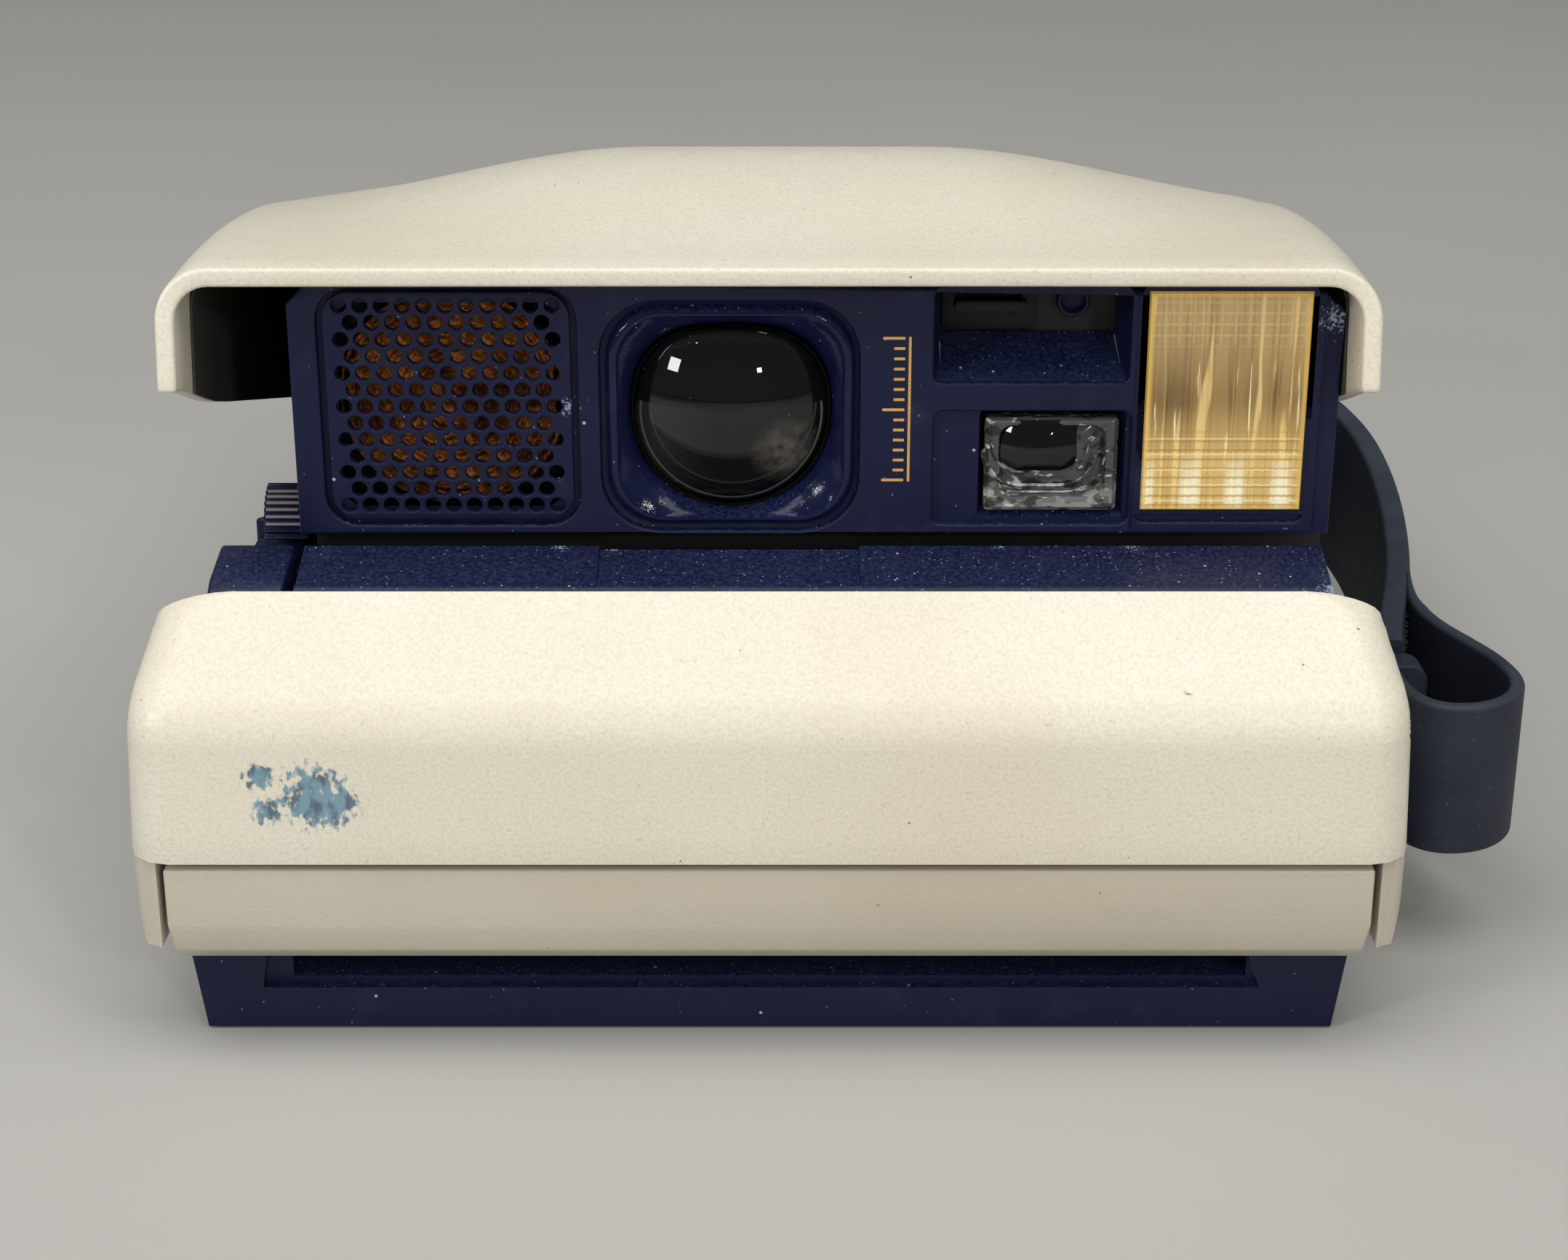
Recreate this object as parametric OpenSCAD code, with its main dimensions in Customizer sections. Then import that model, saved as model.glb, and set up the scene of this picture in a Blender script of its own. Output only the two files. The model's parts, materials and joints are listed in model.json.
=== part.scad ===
/* [Body] */
// Widest part of the body, across the front cover
body_w = 146; // [145:0.5:147]
// Width of the lower housing behind the front cover
housing_w = 139; // [138.6:0.1:139.2]
// Front-most plane of the body, ahead of the base centre
front_y = -100; // [-100.5:0.1:-99.8]
// Rear plane of the lower housing
rear_y = 104; // [103:0.5:106]
// Height of the crease across the front cover
crease_z = 43.5; // [42:0.5:45]
// Height of the front cover's top edge
front_top_z = 55; // [54.7:0.1:55.2]
// Lower edge of the front cover, and top of the film door
door_top_z = 26; // [25.5:0.1:26.2]
// Wall of the moulded shells
wall = 2.2; // [2:0.1:2.4]

/* [Upper unit] */
// Angle that the upper unit stands open from its folded place
open_angle = 10.4; // [10:0.1:10.5]
// Hinge of the upper unit, distance behind the base centre
hinge_y = 95; // [94.5:0.1:95.5]
// Hinge of the upper unit, height
hinge_z = 52.4; // [52.3:0.1:52.5]
// Width of the top cover
cover_w = 138; // [137.6:0.1:138.2]
// Height of the folded cover's front rim
rim_z = 58.4; // [58.2:0.1:58.8]
// Height of the raised centre of the cover over its sides
hump_h = 7; // [6.4:0.2:7.4]
// Left edge of the lens panel
panel_x0 = -55.5; // [-55.6:0.05:-55.3]
// Right edge of the lens panel
panel_x1 = 66.2; // [65.5:0.1:66.4]
// Lower edge of the lens panel
panel_z0 = 57; // [56.9:0.1:57.3]
// Front face of the lens panel
panel_y = -75; // [-75.2:0.1:-74.8]

/* [Optics and sensors] */
// Centre of the taking lens across the panel
lens_x = -4.5; // [-4.8:0.1:-4.2]
// Height of the taking lens
lens_z = 71.4; // [71.2:0.1:71.6]
// Radius of the front lens
lens_r = 11.3; // [11:0.1:11.5]
// Width of the sonar grille plate
grille_w = 28.4; // [28:0.1:29]
// Height of the sonar grille plate
grille_h = 27.4; // [27:0.1:27.8]
// Distance between grille holes in a row
grille_pitch = 2.45; // [2.4:0.01:2.5]
// Distance between the rows of grille holes
grille_row = 2.02; // [2:0.01:2.04]
// Radius of a grille hole
grille_hole_r = 0.9; // [0.8:0.05:0.95]
// Flash window width
flash_w = 18.8; // [18:0.1:19]
// Flash window height
flash_h = 26.4; // [26:0.1:27]
// Viewfinder lens width
finder_w = 15.6; // [15:0.1:16]
// Viewfinder lens height
finder_h = 11.4; // [11:0.1:11.6]

/* [Film transport] */
// Inside width of the film chamber
chamber_w = 108; // [106:0.5:109]
// Height of the chamber roof's underside
chamber_top = 21.4; // [21:0.1:21.6]
// Radius of the processing rollers
roller_r = 3.4; // [3.3:0.05:3.4]
// Gear module of the roller drive
gear_m = 0.6; // [0.6:0.1:0.6]
// Radius of the tripod thread's bore
tripod_r = 3.175; // [3.175:0.001:3.175]

/* [Strap] */
// Width of the hand strap
strap_w = 19.3; // [18:0.1:20]
// Lower edge of the hand strap
strap_z = 14.7; // [14:0.1:15]
// Thickness of the hand strap's band
strap_t = 3.4; // [3:0.1:3.6]

/* [Hidden] */
$fn = 48;
body_h = body_w / 2;
hous_h = housing_w / 2;
cover_h = cover_w / 2;
slope_y = front_y + front_top_z - crease_z;
base_y = front_y + 8;
lip_top = 11.4;
door_end = 70;
floor_t = 2.5;
door_hinge_y = -70;
housing_y0 = -73.6;
SCREWS = [[-60, -55], [60, -55], [-46, 95], [46, 95]];
door_hinge_z = 3;
part_y0 = -83.2;
part_z0 = 42.9;
part_z1 = 33.9;
cover_y0 = -85.5;
cover_y1 = 101.6;
cover_r = 6;
crest_h = 4.9;
crest_run = 46;
crest_fall = 0.026;
flap_y = -85.4;
flap_z = 53.6;
grille_x = -37.2;
grille_z = 72.7;
finder_x = 33;
finder_z = 65.5;
eyepiece_z = 52;
flash_x = 53;
flash_z = 73.4;
roller_y = -78;
roller_top_z = 13.7;
gear_x = 63.4;
gear_t = 2.4;
TEETH_ROLLER = 16;
TEETH_IDLER_B = 30;
TEETH_IDLER_A = 24;
TEETH_PINION = 10;
train_z = 16;
idler_b_rise = train_z - roller_top_z;
idler_b_dist = gear_m * (TEETH_ROLLER + TEETH_IDLER_B) / 2;
idler_b_y = roller_y + sqrt(idler_b_dist * idler_b_dist - idler_b_rise * idler_b_rise);
idler_a_y = idler_b_y + gear_m * (TEETH_IDLER_B + TEETH_IDLER_A) / 2;
pinion_y = idler_a_y + gear_m * (TEETH_IDLER_A + TEETH_PINION) / 2;
mesh_angle = atan2(idler_b_rise, idler_b_y - roller_y);
strut_y = 12;
strut_z = 28;
button_x = -59;
button_y = -61;
button_z = 57.6;
panel_t = 2.5;
panel_top = 88;
switch_z = 39.5;
switch_x = [-29, -12, 5];
timer_x = -42;
timer_z = 50;
display_z0 = 44.5;
display_z1 = 55.5;

// Smooth step from 0 to 1
function ease(t) = let(u = min(max(t, 0), 1)) u * u * (3 - 2 * u);
// Point on a circle
function on_circle(r, a) = [r * cos(a), r * sin(a)];
// Height of the folded cover's sides at a station: up to a crest behind the rim, then slowly down
function side_top(y) =
    rim_z + crest_h * (1 - pow(1 - min(max((y - cover_y0) / crest_run, 0), 1), 2))
    - crest_fall * max(y - cover_y0 - crest_run, 0);
// Height of the centre hump over the sides at a station
function hump_at(y) = hump_h * ease((y - cover_y0) / 45) - 1.6 * ease((y + 40) / 130);
// Share of the hump at a place across the cover
function hump_share(x) = 1 - ease((abs(x - 2) - 18) / 50);
// Lower edge of the cover's skirts
function skirt_z(y) = part_z0 + (part_z1 - part_z0) * min(max((y - part_y0) / -part_y0, 0), 1);
// Half width of the cover, drawn in at the rear corners
function half_width(y) = cover_h - 0.012 * (y - cover_y0) - 3 * ease((y - 80) / 24);
// Fall of the cover's rear end
function rear_fall(y) = 3.4 * pow(max((y - 84) / 16, 0), 2);

// One side of the cover's wall across the body, inset from the outer face
function cover_arch(y, inset) =
    let(w = half_width(y) - inset, r = cover_r - inset * 0.8, top = side_top(y) - inset - rear_fall(y))
    concat(
        [[-w, skirt_z(y)]],
        [for (a = [180:-22.5:90]) [-w + r, top - r] + on_circle(r, a)],
        [for (i = [1:17]) let(x = -w + r + 2 * (w - r) * i / 18) [x, top + hump_at(y) * hump_share(x)]],
        [for (a = [90:-22.5:0]) [w - r, top - r] + on_circle(r, a)],
        [[w, skirt_z(y)]]);

// Closed section of the cover's wall
function cover_ring(y) =
    let(inner = cover_arch(y, wall), n = len(inner))
    concat(cover_arch(y, 0), [for (i = [n - 1:-1:0]) inner[i]]);

// Point between two others
function between(a, b, t) = a + (b - a) * t;
// Point on a cubic curve
function bezier(p, t) =
    pow(1 - t, 3) * p[0] + 3 * t * pow(1 - t, 2) * p[1] + 3 * t * t * (1 - t) * p[2] + t * t * t * p[3];
// Points along a chain of cubic curves
function chain(curves, steps) =
    concat([curves[0][0]], [for (c = curves) for (i = [1:steps]) bezier(c, i / steps)]);
// Unit normal to a path at one of its points
function path_normal(path, i) =
    let(d = path[min(i + 1, len(path) - 1)] - path[max(i - 1, 0)]) [-d[1], d[0]] / norm(d);
// Outline of a band of even thickness along a path
function band(path, t) = concat(
    [for (i = [0:len(path) - 1]) path[i] + path_normal(path, i) * t / 2],
    [for (i = [len(path) - 1:-1:0]) path[i] - path_normal(path, i) * t / 2]);

// Hand strap's main band, in plan
strap_path = chain([
    [[80, -51.5], [80.8, -46], [83.6, -36], [86, -26]],
    [[86, -26], [89, -12], [92.6, 12], [92.5, 32]],
    [[92.5, 32], [92.4, 56], [84, 78], [75.4, 92]]], 7);
// Strap's free end, looped forward of the lug and laid along the band
tail_path = chain([
    [[78.6, -57.4], [78, -64], [78.4, -72.7], [84.5, -72.7]],
    [[84.5, -72.7], [89.5, -72.7], [94.2, -68], [93.1, -61]],
    [[93.1, -61], [92, -53], [87.8, -46], [88.2, -35]],
    [[88.2, -35], [88.3, -29], [89.7, -21], [91.3, -12]]], 7);

// Angle of a tooth on gear b, in mesh with gear a along the direction from a to b
function mesh_phase(direction, phase_a, teeth_a, teeth_b) =
    direction + 180 + 180 / teeth_b - (phase_a - direction) * teeth_a / teeth_b;

phase_roller = mesh_angle;
phase_idler_b = mesh_phase(mesh_angle, phase_roller, TEETH_ROLLER, TEETH_IDLER_B);
phase_idler_a = mesh_phase(0, phase_idler_b, TEETH_IDLER_B, TEETH_IDLER_A);
phase_pinion = mesh_phase(0, phase_idler_a, TEETH_IDLER_A, TEETH_PINION);

// Straight solid along X from an outline in Y and Z
module prism_x(outline, x0, x1) {
    translate([x0, 0, 0])
        rotate([90, 0, 90])
            linear_extrude(x1 - x0)
                polygon(outline);
}

// Straight solid along Y from a two-dimensional shape in X and Z
module slab_y(y0, y1) {
    translate([0, y1, 0])
        rotate([90, 0, 0])
            linear_extrude(y1 - y0)
                children();
}

// Box between two corners
module block(low, high) {
    translate(low)
        cube(high - low);
}

// Rectangle with rounded corners, from exact primitives
module round_rect(x0, x1, y0, y1, r) {
    union() {
        translate([x0 + r, y0]) square([x1 - x0 - 2 * r, y1 - y0]);
        translate([x0, y0 + r]) square([x1 - x0, y1 - y0 - 2 * r]);
        for (x = [x0 + r, x1 - r])
            for (y = [y0 + r, y1 - r])
                translate([x, y]) circle(r);
    }
}

// Rod along X
module rod_x(x0, x1, y, z, r) {
    translate([x0, y, z])
        rotate([0, 90, 0])
            cylinder(h = x1 - x0, r = r);
}

// Rod along Y
module rod_y(x, y0, y1, z, r) {
    translate([x, y1, z])
        rotate([90, 0, 0])
            cylinder(h = y1 - y0, r = r);
}

// Carries a piece drawn in the folded place up to the open place
module raised() {
    translate([0, hinge_y, hinge_z])
        rotate([-open_angle, 0, 0])
            translate([0, -hinge_y, -hinge_z])
                children();
}

// Gear outline about its own centre, with straight-sided teeth
module gear_outline(teeth, phase) {
    pitch_a = 360 / teeth;
    r = gear_m * teeth / 2;
    polygon([for (i = [0:teeth - 1])
        let(a = phase + i * pitch_a)
        for (p = [[-0.28, -1.15], [-0.08, 0.8], [0.08, 0.8], [0.28, -1.15]])
            on_circle(r + p[1] * gear_m, a + p[0] * pitch_a)]);
}

// Gear with a bore, its axis along X
module gear(y, z, teeth, phase, bore_r) {
    translate([gear_x, y, z])
        rotate([90, 0, 90])
            difference() {
                linear_extrude(gear_t) gear_outline(teeth, phase);
                translate([0, 0, -1]) cylinder(h = gear_t + 2, r = bore_r);
            }
}

// Outer form of the lower housing, inset on every side
module housing_form(inset, base) {
    low = hous_h - 2.5 - inset;
    wide = hous_h - inset;
    intersection() {
        translate([0, 0, base])
            linear_extrude(60)
                union() {
                    round_rect(-wide, wide, 0, rear_y - inset, 12 - inset);
                    translate([-wide, housing_y0]) square([2 * wide, 100]);
                }
        slab_y(housing_y0, rear_y)
            polygon([[-low, base], [low, base], [wide, 12], [wide, 60], [-wide, 60], [-wide, 12]]);
    }
}

// Everything above the parting line, set back by a gap
module above_parting(drop) {
    prism_x([[-90, part_z0 - drop + 0.7], [part_y0, part_z0 - drop], [0, part_z1 - drop],
             [rear_y + 9, part_z1 - drop], [rear_y + 9, 90], [-90, 90]], -90, 90);
}

module lower_housing() color("#20284a") difference() {
    union() {
        difference() {
            housing_form(0, 0);
            housing_form(wall, floor_t);
            above_parting(1);
            block([-hous_h + wall, -90, -1], [hous_h - wall, -66, 60]);
        }
        for (s = [-1, 1])
            block([min(s * 64.6, s * 66), -73, 0.4], [max(s * 64.6, s * 66), -65.5, 5.6]);
        translate([0, 78, 0]) cylinder(h = 11, r = 8);
    }
    for (s = [-1, 1])
        rod_x(min(s * 60, s * 69), max(s * 60, s * 69), door_hinge_y, door_hinge_z, 1.2);
    translate([0, 78, -1]) cylinder(h = 13, r = 5);
    for (p = SCREWS)
        translate([p[0], p[1], -1]) cylinder(h = 6, r = 1.4);
    block([hous_h - 3, -46, 25], [hous_h + 1, -30, 29]);
}

// Front cover's outer form, inset from its faces
module front_form(inset) {
    hull() {
        for (level = [[door_top_z, body_h, front_y], [crease_z, body_h - 0.8, front_y],
                      [front_top_z, body_h - 4.8, slope_y]])
            translate([0, 0, level[0] - (level[0] > crease_z ? inset * 0.4 : 0) - 0.05])
                linear_extrude(0.05, $fn = 32)
                    offset(r = 5 - inset * 0.5)
                        translate([-level[1] + 5 + inset * 0.5, level[2] + 5 + inset * 0.5])
                            square([2 * (level[1] - 5 - inset * 0.5), 40]);
    }
}

module front_cover() color("#d9d2bf") difference() {
    front_form(0);
    translate([0, 0.4, -0.6]) front_form(wall + 0.4);
    block([-90, -62, 0], [90, 0, 90]);
    block([-90, -86.8, part_z0 - 0.4], [90, 0, 90]);
    prism_x([[-87, part_z0 - 0.4], [-50, part_z0 - 5], [-50, 90], [-87, 90]], -90, 90);
    block([-90, -110, 10], [90, -60, door_top_z + 0.15]);
}

// Lower side piece of the front, beside the film door
module cheek(side) {
    inner = door_end + 0.35;
    lower = [[inner, 13.6], [inner + 0.7, 12.6], [body_h - 1, 16], [body_h, 21],
             [body_h, door_top_z - 0.15], [inner, door_top_z - 0.15]];
    mirror([side < 0 ? 1 : 0, 0, 0])
        intersection() {
            slab_y(front_y, -62) polygon(lower);
            linear_extrude(40) round_rect(0, body_h, front_y + 0.3, 0, 5);
        }
}

module left_cheek() color("#cfc8b6") difference() {
    cheek(-1);
    block([-90, -93, 17.6], [-60, -78, 22.4]);
}

module right_cheek() color("#cfc8b6") cheek(1);

module shoulder_block() color("#242c55") difference() {
    union() {
        prism_x([[-86, 44.5], [-86, 53.9], [-84, 54.9], [-75.8, 56.1], [-75.4, 49.6], [-50, 48.6],
                 [-50, 42.5], [-52, 40], [-60, 36], [-66, 36]], -64.8, -56);
        prism_x([[-50, 48.5], [-54.4, 48.6], [-54.2, 51.6], [-50, 50.4]], -64.8, -56);
    }
    block([button_x - 2.7, button_y - 4.2, 40], [button_x + 2.4, button_y + 4.2, 60]);
}

module shutter_button() color("#2a3363") {
    intersection() {
        union() {
            rod_x(button_x - 3, button_x + 2.6, button_y + 1.6, button_z - 5, 5);
            for (a = [95:15:185])
                rod_x(button_x - 3, button_x + 2.6, button_y + 1.6 + 5 * cos(a), button_z - 5 + 5 * sin(a), 0.4);
        }
        block([button_x - 3, button_y - 6, button_z - 5.2], [button_x + 2.6, button_y + 4.5, button_z + 2]);
    }
    block([button_x - 2.2, button_y - 3.6, button_z - 12], [button_x + 2, button_y + 3.6, button_z - 5]);
}

module film_chamber() color("#16171b") {
    half = chamber_w / 2 + 0.5;
    difference() {
        block([-half - 1.5, -68, floor_t + 0.02], [half + 1.5, 58, chamber_top + 2]);
        block([-half, -69, 0], [half, 56.4, chamber_top]);
        block([-46, -44, chamber_top - 1], [46, 50, chamber_top + 3]);
        block([-half - 2, -66, 6], [-half + 1, -34, 12]);
    }
    for (s = [-1, 1])
        block([s * 50 - 1, -20, chamber_top + 2], [s * 50 + 1, 50, chamber_top + 2.8]);
    for (y = [idler_a_y, idler_b_y])
        rod_x(half + 1, gear_x + gear_t + 0.3, y, train_z, 1.44);
}

module mirror_carrier() color("#1b1c20") difference() {
    prism_x([[84, floor_t + 0.02], [84, 27], [73.6, 43.6], [72.2, 42.6], [81.6, 26.6], [81.6, floor_t + 0.02]],
            -50, 50);
    translate([0, 78, 0]) cylinder(h = 14, r = 9);
}

module main_mirror() color("#c9d4d8")
    prism_x([[81.1, 26.4], [80.2, 25.9], [71, 41.6], [71.9, 42.1]], -46, 46);

module battery_contacts() color("#c8a24a")
    for (x = [-30, 30])
        prism_x([[-30, floor_t], [-30, floor_t + 0.3], [-26, floor_t + 0.55], [-18, floor_t + 0.55],
                 [-14, floor_t + 0.3], [-14, floor_t]], x - 3, x + 3);

module main_board() color("#2c5c3a") {
    block([-65, -46, 6], [-64, 60, 30]);
    for (y = [-36, -8, 22])
        block([-64, y, 10], [-63.4, y + 14, 22]);
}

module motor() color("#8a8d92") {
    rod_x(56.8, 63.1, pinion_y, train_z, 8.5);
    rod_x(63, gear_x + gear_t + 0.3, pinion_y, train_z, 0.95);
}

module motor_pinion() color("#d8d4c8") gear(pinion_y, train_z, TEETH_PINION, phase_pinion, 1);

module idler_gear_a() color("#e2dccb") gear(idler_a_y, train_z, TEETH_IDLER_A, phase_idler_a, 1.5);

module idler_gear_b() color("#e2dccb") gear(idler_b_y, train_z, TEETH_IDLER_B, phase_idler_b, 1.5);

module pick_arm() color("#9a9da2") {
    block([-chamber_w / 2 - 3.2, -58, 7.6], [-chamber_w / 2 - 2.4, -8, 10.6]);
    block([-chamber_w / 2 - 3.2, -58, 7.6], [-chamber_w / 2 + 0.1, -56.8, 10.6]);
}

module tripod_bush() color("#b89a5a") difference() {
    translate([0, 78, 0.3]) cylinder(h = 10, r = 5);
    translate([0, 78, -1]) cylinder(h = 9, r = tripod_r);
}

module base_screws() color("#6f7276")
    for (p = SCREWS)
        translate([p[0], p[1], 0.4]) cylinder(h = 5, r = 1.4);

module hinge_brackets() color("#7d8086")
    for (x = [[-56.4, -53.8], [56, 58.6]])
        difference() {
            union() {
                prism_x([[82, floor_t + 0.02], [90, floor_t + 0.02], [90, 32], [95.6, hinge_z - 2.7], [92.4, hinge_z + 1]],
                        x[0], x[1]);
                rod_x(x[0], x[1], hinge_y, hinge_z, 3);
            }
            rod_x(x[0] - 1, x[1] + 1, hinge_y, hinge_z, 2);
        }

module hinge_pins() color("#b4b7bb") {
    rod_x(-56.4, -50.6, hinge_y, hinge_z, 2);
    rod_x(53.4, 58.6, hinge_y, hinge_z, 2);
}

// Pleated light-tight bag between the lens and the film
module bellows() color("#141416") {
    pleats = 5;
    hull() {
        block([-44, -40, chamber_top + 3], [40, 40, chamber_top + 5]);
        block([-20, -46, 56], [12, -30, 58]);
    }
    for (i = [1:pleats - 1])
        let(t = i / pleats, z = between(chamber_top + 4, 57, t), half = between(43, 17, t))
            block([-half - 2, -44 - 2 * t, z - 0.6], [half + 1 - 4 * t, between(40, -30, t) + 1.5, z + 0.6]);
}

module cover_strut() color("#a9acb1") {
    difference() {
        union() {
            prism_x([[14, 29], [12, 26.4], [-20, 52], [-17.8, 54.6]], -63, -62);
            rod_x(-63, -62, strut_y, strut_z, 3);
            rod_x(-63, -62, -18.5, 53.9, 2.2);
        }
        rod_x(-64, -61, strut_y, strut_z, 1.25);
    }
}

module close_latch() color("#303a6a") {
    block([hous_h - 1.9, -44, 25.4], [hous_h + 1.2, -38, 28.6]);
    block([hous_h - 3.6, -45.5, 24], [hous_h - 2.5, -36.5, 30]);
    block([hous_h - 2.6, -43, 25.6], [hous_h - 1.8, -39, 28.4]);
}

// Flap between the front cover and the lens panel
module front_flap() color("#2b3566") {
    difference() {
        prism_x([[flap_y, flap_z + 0.6], [flap_y + 8.8, flap_z + 2.6], [flap_y + 9, flap_z + 1.4],
                 [flap_y + 0.4, flap_z - 0.8]], -54.8, 65);
        prism_x([[flap_y + 1, flap_z + 0.55], [flap_y + 1.4, flap_z + 2], [flap_y + 12, flap_z + 4],
                 [flap_y + 12, flap_z + 2.6], [flap_y + 8.6, flap_z + 2.1]], -20, 10.5);
    }
    rod_x(-54.8, 65, flap_y, flap_z, 0.95);
}

module door_hinge_pins() color("#b4b7bb")
    for (s = [-1, 1])
        rod_x(min(s * 60.4, s * 68.6), max(s * 60.4, s * 68.6), door_hinge_y, door_hinge_z, 1.2);

module door_face() color("#c9c3b2") {
    top = door_top_z - 0.5;
    intersection() {
        difference() {
            prism_x([[front_y + 0.5, top], [front_y + 0.4, 17.4], [front_y + 1.4, 14.2], [front_y + 4.2, 11.9],
                     [base_y - 0.2, 11.5], [base_y - 0.2, 13], [base_y + 0.6, 13], [base_y + 0.6, top]],
                    -door_end, door_end);
            prism_x([[front_y + 2.8, top - 2.2], [front_y + 2.8, 18], [front_y + 5.4, 15.4], [base_y + 2, 15.2],
                     [base_y + 2, top - 2.2]], -door_end + 2.2, door_end - 2.2);
        }
        slab_y(front_y, 0)
            polygon([[-door_end + 0.9, 11], [door_end - 0.9, 11], [door_end, 18], [door_end, 40],
                     [-door_end, 40], [-door_end, 18]]);
    }
}

module door_lip() color("#1e2648") difference() {
    union() {
        slab_y(base_y, -71.5)
            polygon([[-67.4, 0.3], [67.4, 0.3], [68.9, lip_top], [68.9, 12.8], [-68.9, 12.8], [-68.9, lip_top]]);
        for (s = [-1, 1])
            rod_x(min(s * 60.6, s * 64.3), max(s * 60.6, s * 64.3), door_hinge_y, door_hinge_z, 2.5);
    }
    block([-59, base_y + 9, 2.4], [59, -60, 20]);
    block([59, roller_y - 7, 2.4], [68.2, -60, 20]);
    block([-66, roller_y - 7, 2.4], [-59, -60, 20]);
    for (s = [-1, 1])
        block([min(s * 64.4, s * 75), -74.2, 0], [max(s * 64.4, s * 75), -60, 20]);
    slab_y(base_y - 1, base_y + 10)
        polygon([[-57, 10.9], [57, 10.9], [57, 6.4], [-57, 6.4]]);
    slab_y(base_y - 1, base_y + 1.5)
        polygon([[-59.5, 11.6], [56, 11.6], [58.5, 5.6], [-60.5, 5.6]]);
    for (s = [-1, 1])
        rod_x(min(s * 60, s * 65), max(s * 60, s * 65), door_hinge_y, door_hinge_z, 1.26);
}

module roller_frame() color("#8f9297")
    difference() {
        union() {
            for (s = [-1, 1])
                block([min(s * 55.6, s * 57.6), roller_y - 4.6, 2.6], [max(s * 55.6, s * 57.6), roller_y + 4.6, 18.6]);
            block([-57.6, roller_y - 4.6, 17.6], [57.6, roller_y + 4.6, 18.6]);
        }
        for (z = [roller_top_z, roller_top_z - 2 * roller_r])
            rod_x(-60, 60, roller_y, z, 1.55);
    }

module roller(z, reach) {
    rod_x(-55.2, 55.2, roller_y, z, roller_r - 0.04);
    rod_x(-58.4, reach, roller_y, z, 1.5);
}

module upper_roller() color("#c3c6ca") {
    roller(roller_top_z, gear_x + gear_t);
    gear(roller_y, roller_top_z, TEETH_ROLLER, phase_roller, 1.5);
}

module lower_roller() color("#c3c6ca") roller(roller_top_z - 2 * roller_r, 58.4);

module door_latch() color("#242c55") {
    block([-body_h - 0.4, -89, 18], [-hous_h - 1, -82.5, 22]);
    for (i = [0:3])
        block([-body_h - 0.9, -88.4 + i * 1.6, 18.4], [-body_h - 0.3, -87.8 + i * 1.6, 21.6]);
}

module strap_band() color("#262f52")
    translate([0, 0, strap_z])
        linear_extrude(strap_w)
            polygon(band(strap_path, strap_t));

module strap_tail() color("#262f52")
    translate([0, 0, strap_z])
        linear_extrude(strap_w)
            polygon(band(tail_path, 1.5));

// Arm on the housing's side, between the strap's two ends
module strap_lug() color("#1d2547") {
    block([hous_h + 0.02, -61, strap_z - 2], [hous_h + 1.6, -46.4, strap_z + strap_w]);
    slab_y(-56.7, -52.1) round_rect(hous_h + 1, 84, strap_z + 3, strap_z + strap_w - 1.6, 2.4);
}

module strap_rear_anchor() color("#1d2547") difference() {
    block([hous_h + 0.02, 84, strap_z - 2], [78, 97, strap_z + strap_w + 2]);
    translate([0, 0, strap_z - 0.2])
        linear_extrude(strap_w + 0.4)
            polygon(band(strap_path, strap_t + 0.1));
    block([hous_h, 92.6, strap_z - 0.2], [76, 95, strap_z + strap_w + 0.2]);
}

// Shell of the top cover, folded
module cover_shell() {
    stations = [cover_y0, -82, -77, -70, -62, -53, -43, -30, -12, 8, 30, 55, 76, 84, 90, 96, cover_y1];
    rings = [for (y = stations) [for (p = cover_ring(y)) [p[0], y, p[1]]]];
    n = len(rings[0]);
    m = len(stations);
    polyhedron(
        points = [for (ring = rings) for (p = ring) p],
        faces = concat(
            [for (i = [0:n / 2 - 2]) for (f = [[i + 1, i, n - 1 - i], [i + 1, n - 1 - i, n - 2 - i]]) f],
            [for (s = [0:m - 2]) for (i = [0:n - 1])
                let(a = s * n + i, b = s * n + (i + 1) % n)
                for (f = [[a, b, b + n], [a, b + n, a + n]]) f],
            [for (i = [0:n / 2 - 2]) let(e = (m - 1) * n)
                for (f = [[e + i, e + i + 1, e + n - 1 - i], [e + i + 1, e + n - 2 - i, e + n - 1 - i]]) f]));
}

module top_cover() color("#e6dfcd") raised() cover_shell();

module inner_chassis() color("#17181c") raised() difference() {
    union() {
        for (x = [[-53, -51.5], [54, 55.5]])
            prism_x([[-68.6, 26.6], [-69, 28.4], [-59.6, 28.4], [-59.6, 56], [-30, 59], [80, 57], [93, 55.5],
                     [97.4, 54.8], [97.4, 50], [60, 42], [-20, 30]], x[0], x[1]);
        block([-52, -68.4, 26.6], [55, -65.6, 27.6]);
        block([-52, 86, 45.4], [55, 88, 49.4]);
    }
    rod_x(-60, 70, hinge_y, hinge_z, 2.06);
    block([22, 80, 42], [44, 90, 70]);
}

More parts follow.
